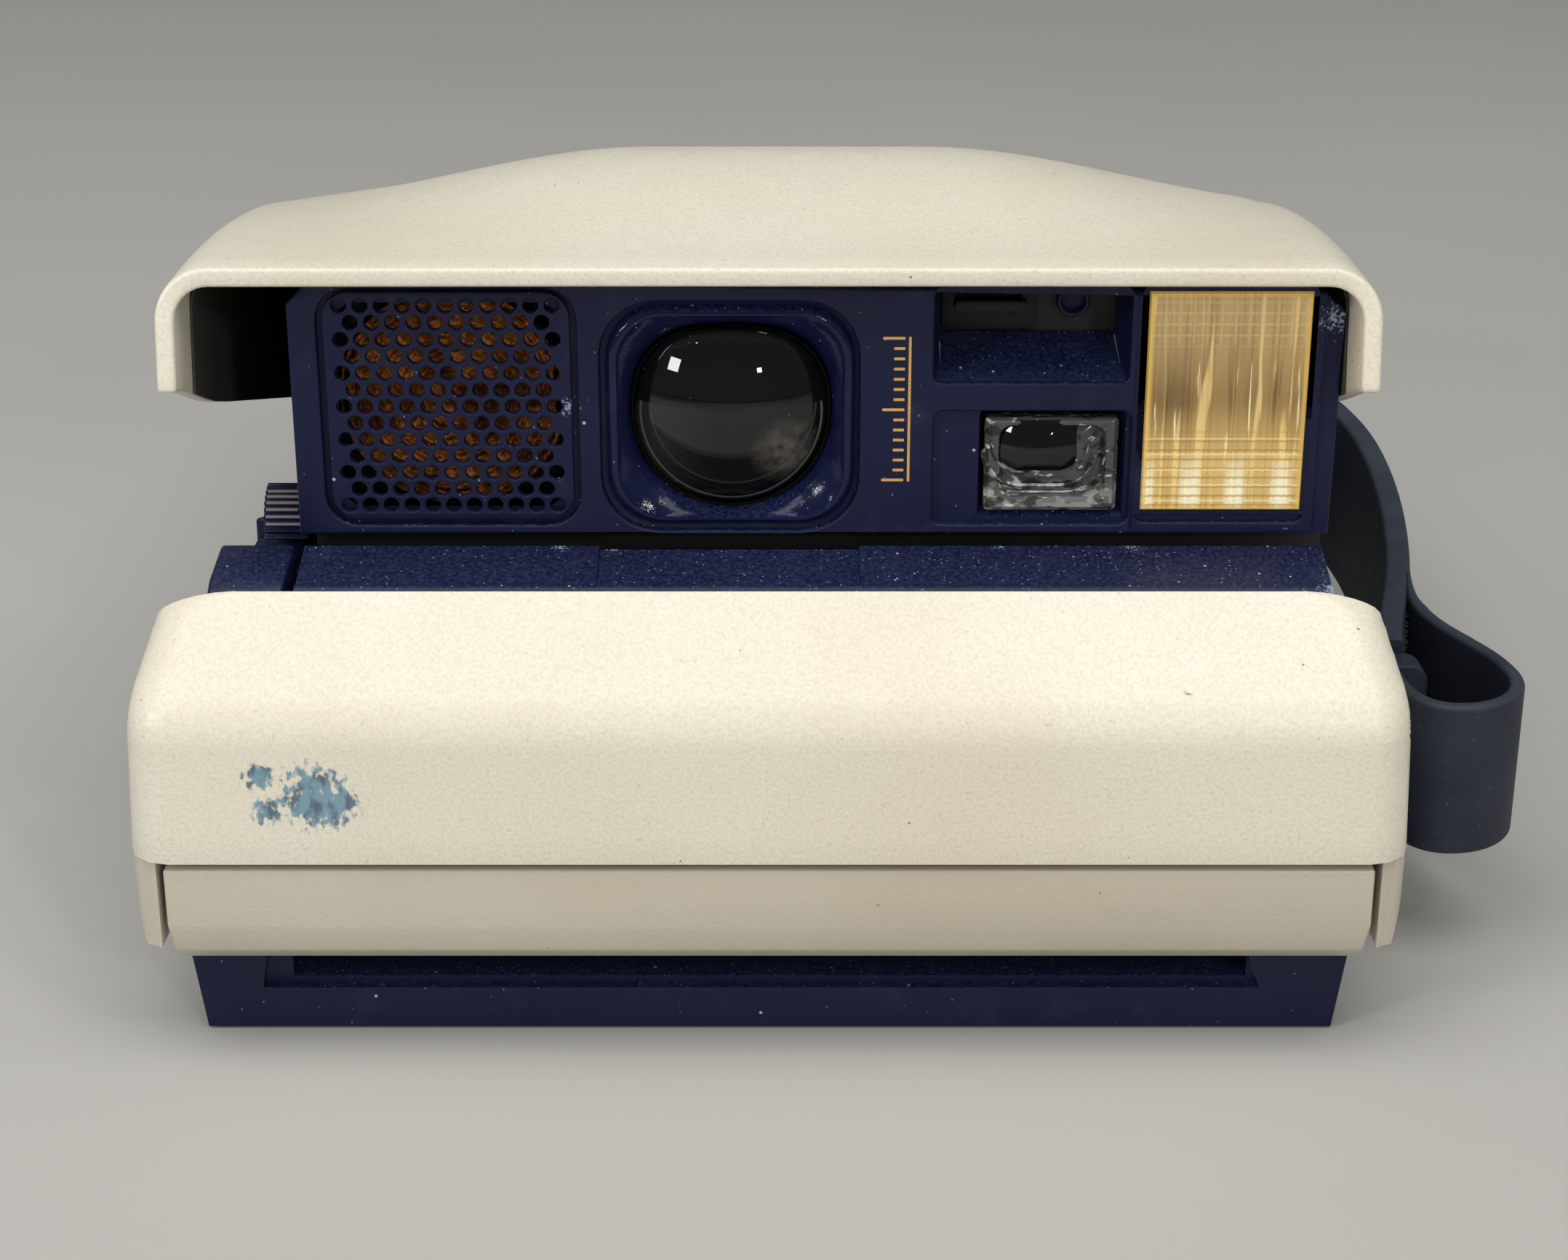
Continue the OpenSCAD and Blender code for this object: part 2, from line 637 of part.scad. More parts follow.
module lens_panel() color("#20284f") difference() {
    slab_y(panel_y, panel_y + panel_t)
        difference() {
            polygon([[panel_x0, panel_z0], [panel_x1 - 1.4, panel_z0], [panel_x1, 84], [panel_x1 - 2.4, 86.4],
                     [panel_x1 - 5, panel_top - 2], [panel_x0 + 3, panel_top], [panel_x0, panel_top - 3]]);
            round_rect(grille_x - 14.4, grille_x + 14.4, grille_z - 13.9, grille_z + 13.9, 3);
            round_rect(lens_x - 14.9, lens_x + 14.9, lens_z - 13.7, lens_z + 13.7, 6);
            round_rect(finder_x - 8, finder_x + 8, finder_z - 5.9, finder_z + 5.9, 0.8);
            round_rect(finder_x - 11, finder_x + 8, 75, 86.6, 1);
            round_rect(flash_x - 9.6, flash_x + 9.6, flash_z - 13.4, flash_z + 13.4, 0.6);
        }
    slab_y(panel_y - 1, panel_y + 1.2) round_rect(19.1, 42.2, 58.2, 72.4, 1);
}

module sonar_grille() color("#232c56")
    slab_y(panel_y + 0.2, panel_y + 1.6)
        difference() {
            round_rect(grille_x - grille_w / 2, grille_x + grille_w / 2,
                       grille_z - grille_h / 2, grille_z + grille_h / 2, 3);
            for (row = [-6:6])
                for (k = [0:(abs(row) % 2 == 0 ? 10 : 9)])
                    translate([grille_x + (k - (abs(row) % 2 == 0 ? 5 : 4.5)) * grille_pitch,
                               grille_z + row * grille_row])
                        circle(grille_hole_r, $fn = 6);
        }

module sonar_transducer() color("#c98f3f") {
    rod_y(grille_x, panel_y + 3.2, panel_y + 4, grille_z, 12.6);
    difference() {
        rod_y(grille_x, panel_y + 4, panel_y + 8, grille_z, 13.2);
        rod_y(grille_x, panel_y + 5, panel_y + 9, grille_z, 11.8);
    }
}

module lens_bezel() color("#1b2350") difference() {
    slab_y(panel_y - 0.2, panel_y + 6)
        difference() {
            round_rect(lens_x - 14.5, lens_x + 14.5, lens_z - 13.3, lens_z + 13.3, 6);
            translate([lens_x, lens_z]) circle(lens_r + 0.1);
        }
    translate([lens_x, panel_y + 3.4, lens_z])
        rotate([90, 0, 0])
            cylinder(h = 3.61, r1 = lens_r + 0.3, r2 = 12.9);
}

module front_lens() color("#0e1116") {
    dome = 17;
    intersection() {
        translate([lens_x, panel_y - 1.6 + dome, lens_z]) sphere(dome, $fn = 96);
        rod_y(lens_x, panel_y - 3, panel_y + 5, lens_z, lens_r);
    }
}

module lens_barrel() color("#101114") difference() {
    rod_y(lens_x, panel_y + 6.1, panel_y + 9, lens_z, 12.2);
    rod_y(lens_x, panel_y + 4, panel_y + 10, lens_z, 8.5);
}

module focus_element() color("#5c6166") {
    difference() {
        union() {
            rod_y(lens_x, -64.6, -62.6, lens_z, 6.4);
            slab_y(-64.6, -62.6)
                polygon([[lens_x - 2, lens_z - 5], [lens_x + 3, lens_z + 5], [lens_x + 14, lens_z + 11.6],
                         [lens_x + 16, lens_z + 8.4]]);
            rod_y(lens_x + 14.6, -64.6, -62.6, lens_z + 10, 2.4);
        }
        rod_y(lens_x + 14.6, -66, -60, lens_z + 10, 1.05);
        rod_y(lens_x, -66, -60, lens_z, 5);
    }
}

module shutter_plate() color("#26282c") {
    difference() {
        slab_y(-60, -59) round_rect(lens_x - 17, lens_x + 18, lens_z - 12, lens_z + 13.5, 2);
        rod_y(lens_x, -61, -58, lens_z, 4);
    }
    rod_y(lens_x + 14.6, -65, -60, lens_z + 10, 1);
    for (s = [-1, 1])
        rod_y(lens_x + s * 13, -59, -56, lens_z - 8, 1);
}

// Shutter blade with a tear-shaped aperture
module blade(side, y0) {
    slab_y(y0, y0 + 0.4)
        translate([lens_x, lens_z])
            mirror([side < 0 ? 1 : 0, 0])
                difference() {
                    polygon([[15.2, -10.2], [2, -7.6], [-7, -1], [-6.6, 7], [4, 6.4], [15.4, -5.8]]);
                    translate([13, -8]) circle(1.06);
                    translate([-3.4, 3]) circle(2.2);
                }
}

module shutter_blade_left() color("#3a3c40") blade(-1, -58.4);

module shutter_blade_right() color("#3a3c40") blade(1, -57.4);

module light_sensor() color("#0c0d12") {
    difference() {
        block([finder_x - 11.6, panel_y + panel_t + 0.02, 74.2], [finder_x + 8.6, -62, 87.4]);
        prism_x([[-80, 75.4], [-80, 86.2], [-65, 86.2], [-65, 79]], finder_x - 10.6, finder_x + 7.6);
    }
    difference() {
        rod_y(finder_x + 2.6, -66.4, -64.9, 82.6, 2.8);
        rod_y(finder_x + 2.6, -67, -65.8, 82.6, 1.7);
    }
    block([finder_x - 10, -66.6, 79.4], [finder_x - 1, -64.9, 86]);
}

module finder_lens() color("#b9c3c9") {
    x0 = finder_x - finder_w / 2;
    x1 = finder_x + finder_w / 2;
    z0 = finder_z - finder_h / 2;
    z1 = finder_z + finder_h / 2;
    difference() {
        block([x0, panel_y + 0.4, z0], [x1, panel_y + 6.4, z1]);
        translate([finder_x, panel_y - 6.4, finder_z]) sphere(8.6, $fn = 64);
    }
}

module finder_tube() color("#141519") difference() {
    prism_x([[panel_y + 6.7, finder_z - 6], [panel_y + 6.7, finder_z + 6], [95.4, 56.2], [96.4, 47.2]],
            finder_x - 8.4, finder_x + 8.4);
    prism_x([[panel_y, finder_z - 5], [panel_y, finder_z + 5], [98, 55], [99, 48.2]],
            finder_x - 7.4, finder_x + 7.4);
}

module finder_eyepiece() color("#9aa6ad") raised() difference() {
    slab_y(98.4, 100.6) round_rect(finder_x - 7, finder_x + 7, eyepiece_z - 3.3, eyepiece_z + 3.3, 1.6);
    translate([finder_x, 106.2, eyepiece_z]) sphere(6.6);
}

module flash_lens() color("#d79a2b") {
    x0 = flash_x - flash_w / 2;
    difference() {
        block([x0, panel_y - 0.6, flash_z - flash_h / 2], [x0 + flash_w, panel_y + 1, flash_z + flash_h / 2]);
        for (i = [0:22])
            block([x0 + 0.5 + i * 0.8, panel_y + 0.6, flash_z - flash_h / 2 + 0.6],
                  [x0 + 0.8 + i * 0.8, panel_y + 2, flash_z + flash_h / 2 - 0.6]);
    }
}

module flash_reflector() color("#c9b27a") difference() {
    block([flash_x - 9.2, panel_y + 1.4, flash_z - 13], [flash_x + 7.8, -63, flash_z + 13]);
    prism_x([[panel_y, flash_z - 12.4], [-67, flash_z - 6], [-64.4, flash_z - 1], [-64.4, flash_z + 1],
             [-67, flash_z + 6], [panel_y, flash_z + 12.4]], flash_x - 8.6, flash_x + 7.2);
}

module flash_tube() color("#e8e6da") rod_x(flash_x - 8.55, flash_x + 7.15, -67.4, flash_z, 1.5);

module rear_panel() color("#1d2446") raised() difference() {
    slab_y(99.2, 101)
        polygon(cover_arch(cover_y1, wall + 0.25));
    slab_y(98, 102) round_rect(finder_x - 7.3, finder_x + 7.3, eyepiece_z - 3.6, eyepiece_z + 3.6, 1.6);
    slab_y(98, 102) round_rect(-25.3, 13.3, display_z0 - 0.3, display_z1 + 0.3, 1);
    for (x = switch_x)
        block([x - 4.6, 98, switch_z - 1.4], [x + 4.6, 102, switch_z + 1.4]);
    rod_y(timer_x, 98, 102, timer_z, 3.4);
}

module display_window() color("#1a1d20") raised()
    slab_y(99.4, 100.7) round_rect(-25, 13, display_z0, display_z1, 1);

// Knob of a rear slide switch
module switch_knob(x) raised() {
    block([x - 1.8, 98.8, switch_z - 1.1], [x + 1.8, 101.8, switch_z + 1.1]);
    block([x - 3.4, 97.7, switch_z - 2.4], [x + 3.4, 98.9, switch_z + 2.4]);
}

module flash_switch() color("#cfc8b6") switch_knob(switch_x[0]);

module focus_switch() color("#cfc8b6") switch_knob(switch_x[1]);

module exposure_switch() color("#cfc8b6") switch_knob(switch_x[2]);

module timer_button() color("#cfc8b6") raised() {
    rod_y(timer_x, 98, 101.8, timer_z, 3);
    rod_y(timer_x, 96.8, 98.1, timer_z, 4);
}

lower_housing();
front_cover();
left_cheek();
right_cheek();
shoulder_block();
film_chamber();
mirror_carrier();
main_mirror();
battery_contacts();
main_board();
motor();
motor_pinion();
idler_gear_a();
idler_gear_b();
pick_arm();
tripod_bush();
strap_lug();
strap_rear_anchor();
strap_band();
strap_tail();
base_screws();
hinge_brackets();
hinge_pins();
bellows();
cover_strut();
close_latch();
shutter_button();
front_flap();
door_hinge_pins();
door_face();
door_lip();
roller_frame();
upper_roller();
lower_roller();
door_latch();
top_cover();
inner_chassis();
lens_panel();
sonar_grille();
sonar_transducer();
lens_bezel();
front_lens();
lens_barrel();
focus_element();
shutter_plate();
shutter_blade_left();
shutter_blade_right();
light_sensor();
finder_lens();
finder_tube();
finder_eyepiece();
flash_lens();
flash_reflector();
flash_tube();
rear_panel();
display_window();
flash_switch();
focus_switch();
exposure_switch();
timer_button();
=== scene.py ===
"""Looks of a folding instant camera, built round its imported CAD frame.

Points are in millimetres until a mesh is made, and in metres after that. The camera faces -Y, and Z is up.
"""
import json
import math
import random

import bmesh
import bpy
from mathutils import Matrix, Vector


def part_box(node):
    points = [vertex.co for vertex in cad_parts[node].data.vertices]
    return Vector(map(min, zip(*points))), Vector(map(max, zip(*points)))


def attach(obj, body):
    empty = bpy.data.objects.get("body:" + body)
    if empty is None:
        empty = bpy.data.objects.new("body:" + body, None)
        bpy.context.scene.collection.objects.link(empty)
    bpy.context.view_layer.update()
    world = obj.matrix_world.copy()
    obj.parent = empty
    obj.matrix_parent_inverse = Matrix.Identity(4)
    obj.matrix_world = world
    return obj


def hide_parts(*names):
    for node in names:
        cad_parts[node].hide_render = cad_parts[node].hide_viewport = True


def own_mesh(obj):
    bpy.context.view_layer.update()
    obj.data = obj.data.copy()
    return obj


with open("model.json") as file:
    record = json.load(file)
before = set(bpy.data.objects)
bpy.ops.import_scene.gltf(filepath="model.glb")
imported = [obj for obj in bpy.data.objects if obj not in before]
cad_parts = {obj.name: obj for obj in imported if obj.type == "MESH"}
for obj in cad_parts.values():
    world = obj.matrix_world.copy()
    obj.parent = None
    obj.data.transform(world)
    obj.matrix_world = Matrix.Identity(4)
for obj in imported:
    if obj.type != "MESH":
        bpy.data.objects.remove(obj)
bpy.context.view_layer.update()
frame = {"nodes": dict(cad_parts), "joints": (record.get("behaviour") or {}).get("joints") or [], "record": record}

MM = 0.001
JOINTS = {joint["name"]: joint for joint in frame["joints"]}
SCENE = bpy.context.scene


def low_high(node):
    """Corners of a CAD node's box, in millimetres."""
    low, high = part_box(node)
    return low / MM, high / MM


def middle(node):
    """Centre of a CAD node's box, in millimetres."""
    low, high = low_high(node)
    return (low + high) / 2


def placed(name, data):
    """An object that holds some data, put in the scene."""
    obj = bpy.data.objects.new(name, data)
    SCENE.collection.objects.link(obj)
    return obj


# ---------------------------------------------------------------- camera and lights

AIM = Vector((1.7, -100, 54.9)) * MM
REACH = 313 * MM
ELEVATION = math.radians(22)
FOCAL_LENGTH = 65.1
LIT_POINT = Vector((0, 0, 0.05))


def aimed(obj, target):
    """Turns a camera or light towards a point."""
    obj.rotation_euler = (target - obj.location).to_track_quat("-Z", "Y").to_euler()


def make_camera():
    data = bpy.data.cameras.new("camera")
    data.lens = FOCAL_LENGTH
    data.sensor_width = 36
    data.clip_start = 0.01
    camera = placed("camera", data)
    camera.location = AIM + REACH * Vector((0, -math.cos(ELEVATION), math.sin(ELEVATION)))
    aimed(camera, AIM)
    SCENE.camera = camera


def softbox(name, place, size, power, colour=(1, 1, 1), mirrored=True):
    """A rectangular area light, aimed at the camera body; mirrored says if gloss shows it."""
    data = bpy.data.lights.new(name, "AREA")
    data.shape = "RECTANGLE"
    data.size, data.size_y = size
    data.energy = power
    data.color = colour
    lamp = placed(name, data)
    lamp.location = place
    lamp.visible_glossy = mirrored
    aimed(lamp, LIT_POINT)


def make_lights():
    softbox("overhead", (-0.05, -0.40, 1.35), (1.9, 0.9), 15.5, (1, 0.99, 0.965))
    softbox("front_fill", (0.2, -1.5, 0.45), (1.4, 0.9), 4.1, (1, 0.99, 0.97), mirrored=False)
    softbox("window", (-0.665, -0.585, 0.41), (0.15, 0.15), 1.6)
    softbox("lamp", (0.34, -0.83, 0.425), (0.055, 0.055), 0.9, (1, 0.96, 0.88))
    softbox("lamp_left", (-0.40, -0.546, 0.66), (0.045, 0.045), 0.35, (1, 0.94, 0.84))
    softbox("lamp_right", (0.375, -0.52, 0.68), (0.05, 0.05), 0.35, (1, 0.94, 0.84))
    world = bpy.data.worlds.new("studio")
    world.use_nodes = True
    sky = world.node_tree.nodes["Background"].inputs
    sky["Color"].default_value = (1, 0.99, 0.975, 1)
    sky["Strength"].default_value = 0.17
    SCENE.world = world
    SCENE.view_settings.view_transform = "Standard"


# ---------------------------------------------------------------- shader helpers

def tone(red, green, blue):
    """Linear colour from display values of 0 to 255."""
    def linear(value):
        value /= 255
        return value / 12.92 if value <= 0.04045 else ((value + 0.055) / 1.055) ** 2.4
    return (linear(red), linear(green), linear(blue), 1)


class Paint:
    """A material under construction: one Principled shader and what feeds it."""

    def __init__(self, name, colour, roughness, **sockets):
        self.material = bpy.data.materials.new(name)
        self.material.use_nodes = True
        self.tree = self.material.node_tree
        self.shader = self.tree.nodes["Principled BSDF"]
        self.shader.inputs["Base Color"].default_value = colour
        self.shader.inputs["Roughness"].default_value = roughness
        for socket, value in sockets.items():
            self.shader.inputs[socket.replace("_", " ")].default_value = value
        self.place = self.node("ShaderNodeTexCoord").outputs["Object"]
        self.colour = colour
        self.heights = []

    def node(self, kind, **settings):
        node = self.tree.nodes.new(kind)
        for key, value in settings.items():
            setattr(node, key, value)
        return node

    def feed(self, socket, value):
        """Sets a socket to a constant or links it to an output."""
        if isinstance(value, bpy.types.NodeSocket):
            self.tree.links.new(value, socket)
        else:
            socket.default_value = value

    def maths(self, operation, a, b=0.0):
        node = self.node("ShaderNodeMath", operation=operation)
        self.feed(node.inputs[0], a)
        self.feed(node.inputs[1], b)
        return node.outputs[0]

    def times(self, *values):
        """Product of shares."""
        total = values[0]
        for value in values[1:]:
            total = self.maths("MULTIPLY", total, value)
        return total

    def wave(self, value, rate):
        """Sine of a value times a rate in radians for each metre."""
        return self.maths("SINE", self.times(value, rate))

    def axes(self):
        """X, Y and Z of the shaded point, in metres."""
        split = self.node("ShaderNodeSeparateXYZ")
        self.feed(split.inputs[0], self.place)
        return split.outputs

    def away(self, centre, place=None):
        """Distance from a centre, both in metres."""
        node = self.node("ShaderNodeVectorMath", operation="DISTANCE")
        self.feed(node.inputs[0], self.place if place is None else place)
        node.inputs[1].default_value = centre
        return node.outputs["Value"]

    def noise(self, size, detail=2, stretch=(1, 1, 1)):
        """Noise with features of a size in millimetres, stretched along axes."""
        node = self.node("ShaderNodeTexNoise")
        node.inputs["Scale"].default_value = 1 / (size * MM)
        node.inputs["Detail"].default_value = detail
        squeeze = self.node("ShaderNodeVectorMath", operation="MULTIPLY")
        self.feed(squeeze.inputs[0], self.place)
        squeeze.inputs[1].default_value = [1 / s for s in stretch]
        self.tree.links.new(squeeze.outputs[0], node.inputs["Vector"])
        return node.outputs["Fac"]

    def span(self, value, low, high, to_low=0.0, to_high=1.0):
        """Maps a range to another, clamped."""
        node = self.node("ShaderNodeMapRange")
        self.feed(node.inputs["Value"], value)
        node.inputs["From Min"].default_value = low
        node.inputs["From Max"].default_value = high
        node.inputs["To Min"].default_value = to_low
        node.inputs["To Max"].default_value = to_high
        return node.outputs["Result"]

    def cloud(self, size, detail, low, high, share=1.0, stretch=(1, 1, 1)):
        """Soft patches where noise passes from low to high, up to a share."""
        return self.span(self.noise(size, detail, stretch), low, high, 0, share)

    def strip(self, axis, low, high, share=1.0):
        """Share that rises along an axis between two places in millimetres."""
        return self.span(axis, low * MM, high * MM, 0, share)

    def mix(self, share, first, second):
        node = self.node("ShaderNodeMix", data_type="RGBA")
        self.feed(node.inputs["Factor"], share)
        self.feed(node.inputs[6], first)
        self.feed(node.inputs[7], second)
        return node.outputs[2]

    def over(self, share, colour):
        """Lays a colour over the base where the share says."""
        self.colour = self.mix(share, self.colour, colour)

    def lay(self, colour, *shares):
        """Lays a display colour over the base where the product of the shares says."""
        self.over(self.times(*shares), tone(*colour))

    def rougher(self, share, low, high):
        self.feed(self.shader.inputs["Roughness"], self.span(share, 0, 1, low, high))

    def specks(self, cell, radius, share):
        """Small round specks, in some of the cells of a grid."""
        node = self.node("ShaderNodeTexVoronoi")
        node.inputs["Scale"].default_value = 1 / (cell * MM)
        self.feed(node.inputs["Vector"], self.place)
        near = self.span(node.outputs["Distance"], radius / cell, 1.7 * radius / cell, 1, 0)
        split = self.node("ShaderNodeSeparateColor")
        self.feed(split.inputs[0], node.outputs["Color"])
        chosen = self.maths("GREATER_THAN", split.outputs[0], 1 - share)
        return self.times(near, chosen)

    def spots(self, places, grain=0.9, cover=0.5, stretch=(1, 1, 1)):
        """Ragged patches round points (x, y, z, radius), in millimetres."""
        total = None
        for x, y, z, radius in places:
            near = self.span(self.away((x * MM, y * MM, z * MM)), 0, radius * MM, 1, 0)
            total = near if total is None else self.maths("MAXIMUM", total, near)
        ragged = self.maths("ADD", self.noise(grain, 6, stretch), self.times(total, 0.45))
        inside = self.span(total, 0.02, 0.25)
        start = 1.12 - cover * 0.4
        return self.times(self.span(ragged, start, start + 0.12), inside)

    def facing_up(self):
        """Share that is full on faces that look up and nothing on upright ones."""
        split = self.node("ShaderNodeSeparateXYZ")
        self.feed(split.inputs[0], self.node("ShaderNodeTexCoord").outputs["Normal"])
        return self.span(split.outputs[2], 0.45, 0.95)

    def relief(self, height, depth):
        """Adds a bump whose depth is in millimetres."""
        self.heights.append((height, depth))

    def ready(self):
        """Links what was collected and hands over the material."""
        self.feed(self.shader.inputs["Base Color"], self.colour)
        normal = None
        for height, depth in self.heights:
            bump = self.node("ShaderNodeBump")
            bump.inputs["Distance"].default_value = depth * MM
            self.feed(bump.inputs["Height"], height)
            if normal is not None:
                self.feed(bump.inputs["Normal"], normal)
            normal = bump.outputs["Normal"]
        if normal is not None:
            self.feed(self.shader.inputs["Normal"], normal)
        return self.material


# ---------------------------------------------------------------- materials

def cream(name, colour, warm, marks=(), smear=()):
    """Moulded cream plastic: fine spark grain, slow yellowing, a few marks."""
    paint = Paint(name, colour, 0.45)
    paint.over(paint.cloud(38, 3, 0.35, 0.75), warm)
    paint.lay((182, 173, 152), paint.cloud(0.42, 1, 0.4, 0.68, 0.22))
    paint.lay((164, 152, 130), paint.cloud(0.6, 3, 0.67, 0.73, 0.3))
    paint.lay((150, 138, 118), paint.specks(3.2, 0.12, 0.22))
    paint.lay((112, 98, 78), paint.specks(9, 0.2, 0.3), 0.8)
    if marks:
        paint.lay((142, 128, 104), paint.spots(marks, 1.1, 0.5, (2.6, 1, 1)))
    if smear:
        depth = paint.cloud(1.3, 4, 0.45, 0.6, stretch=(1, 1, 2))
        stain = paint.mix(depth, tone(98, 146, 168), tone(38, 74, 108))
        paint.over(paint.times(paint.spots(smear, 0.8, 1.25, (1, 1, 1.6)), 0.88), stain)
    paint.rougher(paint.noise(6, 2), 0.3, 0.42)
    paint.relief(paint.noise(0.5, 2), 0.05)
    paint.relief(paint.noise(14, 2), 0.05)
    return paint.ready()


def navy(name, colour, pale, gloss, scuffs=(), dust=0.5):
    """Navy plastic: grain, dust, and pale scuffs where it was knocked."""
    paint = Paint(name, colour, gloss, Specular_IOR_Level=0.28)
    paint.over(paint.cloud(22, 3, 0.35, 0.8), pale)
    paint.lay((70, 80, 110), paint.cloud(5, 5, 0.58, 0.8, 0.16))
    paint.lay((134, 142, 168), paint.specks(1.5, 0.085, dust), 0.6)
    paint.lay((200, 206, 216), paint.specks(4.2, 0.14, dust * 0.6), 0.85)
    top = paint.facing_up()
    paint.lay((76, 88, 128), top, paint.cloud(0.5, 4, 0.4, 0.7, 0.3))
    paint.lay((130, 140, 172), top, paint.specks(0.7, 0.07, dust * 0.8))
    paint.lay((190, 198, 214), top, paint.specks(1.9, 0.1, dust * 0.7))
    if scuffs:
        paint.lay((150, 168, 190), paint.spots(scuffs, 0.35, 0.75), 0.85)
    paint.rougher(paint.noise(3.5, 3), gloss - 0.05, gloss + 0.09)
    paint.relief(paint.noise(0.4, 2), 0.03)
    return paint.ready()


def rubber():
    """Matte slate rubber of the strap, with faint bloom and scratches, and a painted highlight along the band's
    top edge.
    """
    paint = Paint("strap_rubber", tone(34, 41, 54), 0.6, Specular_IOR_Level=0.35)
    paint.lay((43, 50, 63), paint.cloud(9, 4, 0.4, 0.75))
    paint.lay((120, 126, 136), paint.specks(2.2, 0.07, 0.3), 0.6)
    paint.lay((112, 120, 134), paint.cloud(0.7, 4, 0.66, 0.72, 0.18, (1, 14, 1)))
    top = low_high("strap_band")[1].z
    # painted highlight: the band's top edge is drawn lighter, as where the overhead light catches it
    rim = paint.strip(paint.axes()[2], top - 0.7, top - 0.1, 0.7)
    paint.lay((56, 66, 80), rim, paint.span(paint.noise(9, 3), 0.3, 0.6, 0.5, 1))
    paint.rougher(paint.noise(5, 3), 0.5, 0.7)
    paint.relief(paint.noise(0.3, 3), 0.03)
    return paint.ready()


def metal(name, colour, roughness, stretch=(12, 1, 1)):
    """Rolled or turned metal with fine lines along one axis."""
    paint = Paint(name, colour, roughness, Metallic=1.0)
    paint.rougher(paint.noise(0.5, 4, stretch), roughness - 0.08, roughness + 0.12)
    paint.relief(paint.noise(0.35, 3, stretch), 0.004)
    return paint.ready()


def foil(centre):
    """Copper-gold foil of the transducer, with fine rings and creases."""
    paint = Paint("gold_foil", tone(176, 112, 60), 0.3, Metallic=1.0)
    paint.lay((84, 50, 30), paint.cloud(7, 3, 0.4, 0.62))
    paint.relief(paint.wave(paint.away(centre * MM), 5200), 0.04)
    paint.relief(paint.noise(2.4, 4), 0.5)
    return paint.ready()


def glass(name, colour, index):
    """Clear plastic and glass, with a little dust."""
    paint = Paint(name, colour, 0.0, Transmission_Weight=1.0, IOR=index)
    paint.rougher(paint.specks(1.6, 0.05, 0.3), 0.0, 0.6)
    return paint.ready()


def amber_window():
    """Fluted amber plastic, painted with the light of the reflector behind it: bright and dark streaks, cross
    lines and a glow, brightest low down, and a faint emission.
    """
    low, high = low_high("flash_lens")
    paint = Paint("amber_plastic", tone(156, 126, 74), 0.1, Transmission_Weight=0.06, IOR=1.49,
                  Coat_Weight=0.5, Coat_Roughness=0.05)
    across, _, up = paint.axes()

    def above_foot(start, full, share=1.0):
        return paint.strip(up, low.z + start, low.z + full, share)

    def below_top(start, full, share=1.0):
        return paint.strip(up, high.z - start, high.z - full, share)

    # painted reflection streaks: bright and dark vertical lines that stand for the reflector seen through the
    # flutes
    for size, stretch, faint, full, share, colour in (
            (3.2, 7, 0.42, 0.6, 0.9, (120, 92, 52)), (1.3, 16, 0.56, 0.62, 0.9, (226, 196, 130)),
            (1.0, 18, 0.6, 0.66, 0.7, (110, 82, 44)), (0.7, 18, 0.66, 0.7, 1, (255, 240, 188))):
        paint.lay(colour, paint.cloud(size, 2, faint, full, share, (1, 1, stretch)))
    low_part = above_foot(10.5, 8)
    # painted highlight lines of the cross prisms, near the top
    painted_cross_lines = paint.maths("MAXIMUM", paint.span(paint.wave(up, 4800), 0.7, 0.9),
                       paint.span(paint.wave(across, 3900), 0.8, 0.95))
    paint.lay((236, 208, 150), painted_cross_lines, below_top(7, 5.5), 0.28)
    # painted light: a glow across the foot, a lighter upper band and a bright lower part
    painted_glow = paint.times(above_foot(7.5, 3), paint.span(paint.wave(across, 1180), -0.2, 0.8))
    paint.lay((222, 194, 134), below_top(12, 4, 0.45))
    paint.lay((252, 216, 132), above_foot(13, 6, 0.6))
    paint.lay((255, 250, 214), painted_glow)
    # painted highlight and shade lines across the lower part
    for rate, faint, full, share, colour in ((5600, 0.6, 0.85, 0.65, (178, 130, 52)),
                                             (3300, 0.9, 0.97, 0.6, (255, 240, 190))):
        paint.lay(colour, paint.span(paint.wave(up, rate), faint, full), low_part, share)
    # painted highlight along the window's edges
    sides = paint.maths("MAXIMUM", paint.strip(across, low.x + 0.7, low.x + 0.4),
                        paint.strip(across, high.x - 0.8, high.x - 0.5))
    ends = paint.maths("MAXIMUM", above_foot(0.7, 0.4), below_top(0.7, 0.4))
    paint.lay((226, 186, 88), paint.maths("MAXIMUM", sides, ends), 0.75)
    # painted glow: the window emits its own painted colours faintly, though it is no lamp
    paint.shader.inputs["Emission Strength"].default_value = 0.17
    paint.feed(paint.shader.inputs["Emission Color"], paint.colour)
    return paint.ready()


def painted_clear_plastic(name):
    """Opaque stand-in for clear moulded plastic, its light painted: lighter grey facets low down, with painted
    white highlight streaks and dark reflection streaks.
    """
    low = low_high("finder_lens")[0]
    paint = Paint(name, tone(72, 72, 72), 0.08, IOR=1.49)
    foot = paint.strip(paint.axes()[2], low.z + 4.2, low.z + 2.6)
    cells = paint.node("ShaderNodeTexVoronoi", distance="CHEBYCHEV")
    cells.inputs["Scale"].default_value = 1 / (1.7 * MM)
    paint.feed(cells.inputs["Vector"], paint.place)
    tint = paint.node("ShaderNodeSeparateColor")
    paint.feed(tint.inputs[0], cells.outputs["Color"])
    # painted light: lighter grey facets low down
    paint.lay((176, 176, 172), foot, paint.span(tint.outputs[0], 0.1, 0.9, 0.15, 0.9))
    # painted white highlight streaks, then painted dark reflection streaks
    paint.lay((214, 215, 214), paint.cloud(0.9, 3, 0.6, 0.64, 0.9, (3, 1, 1)))
    paint.lay((20, 20, 22), paint.cloud(1.3, 3, 0.52, 0.6, 0.85, (2, 1, 1)))
    return paint.ready()


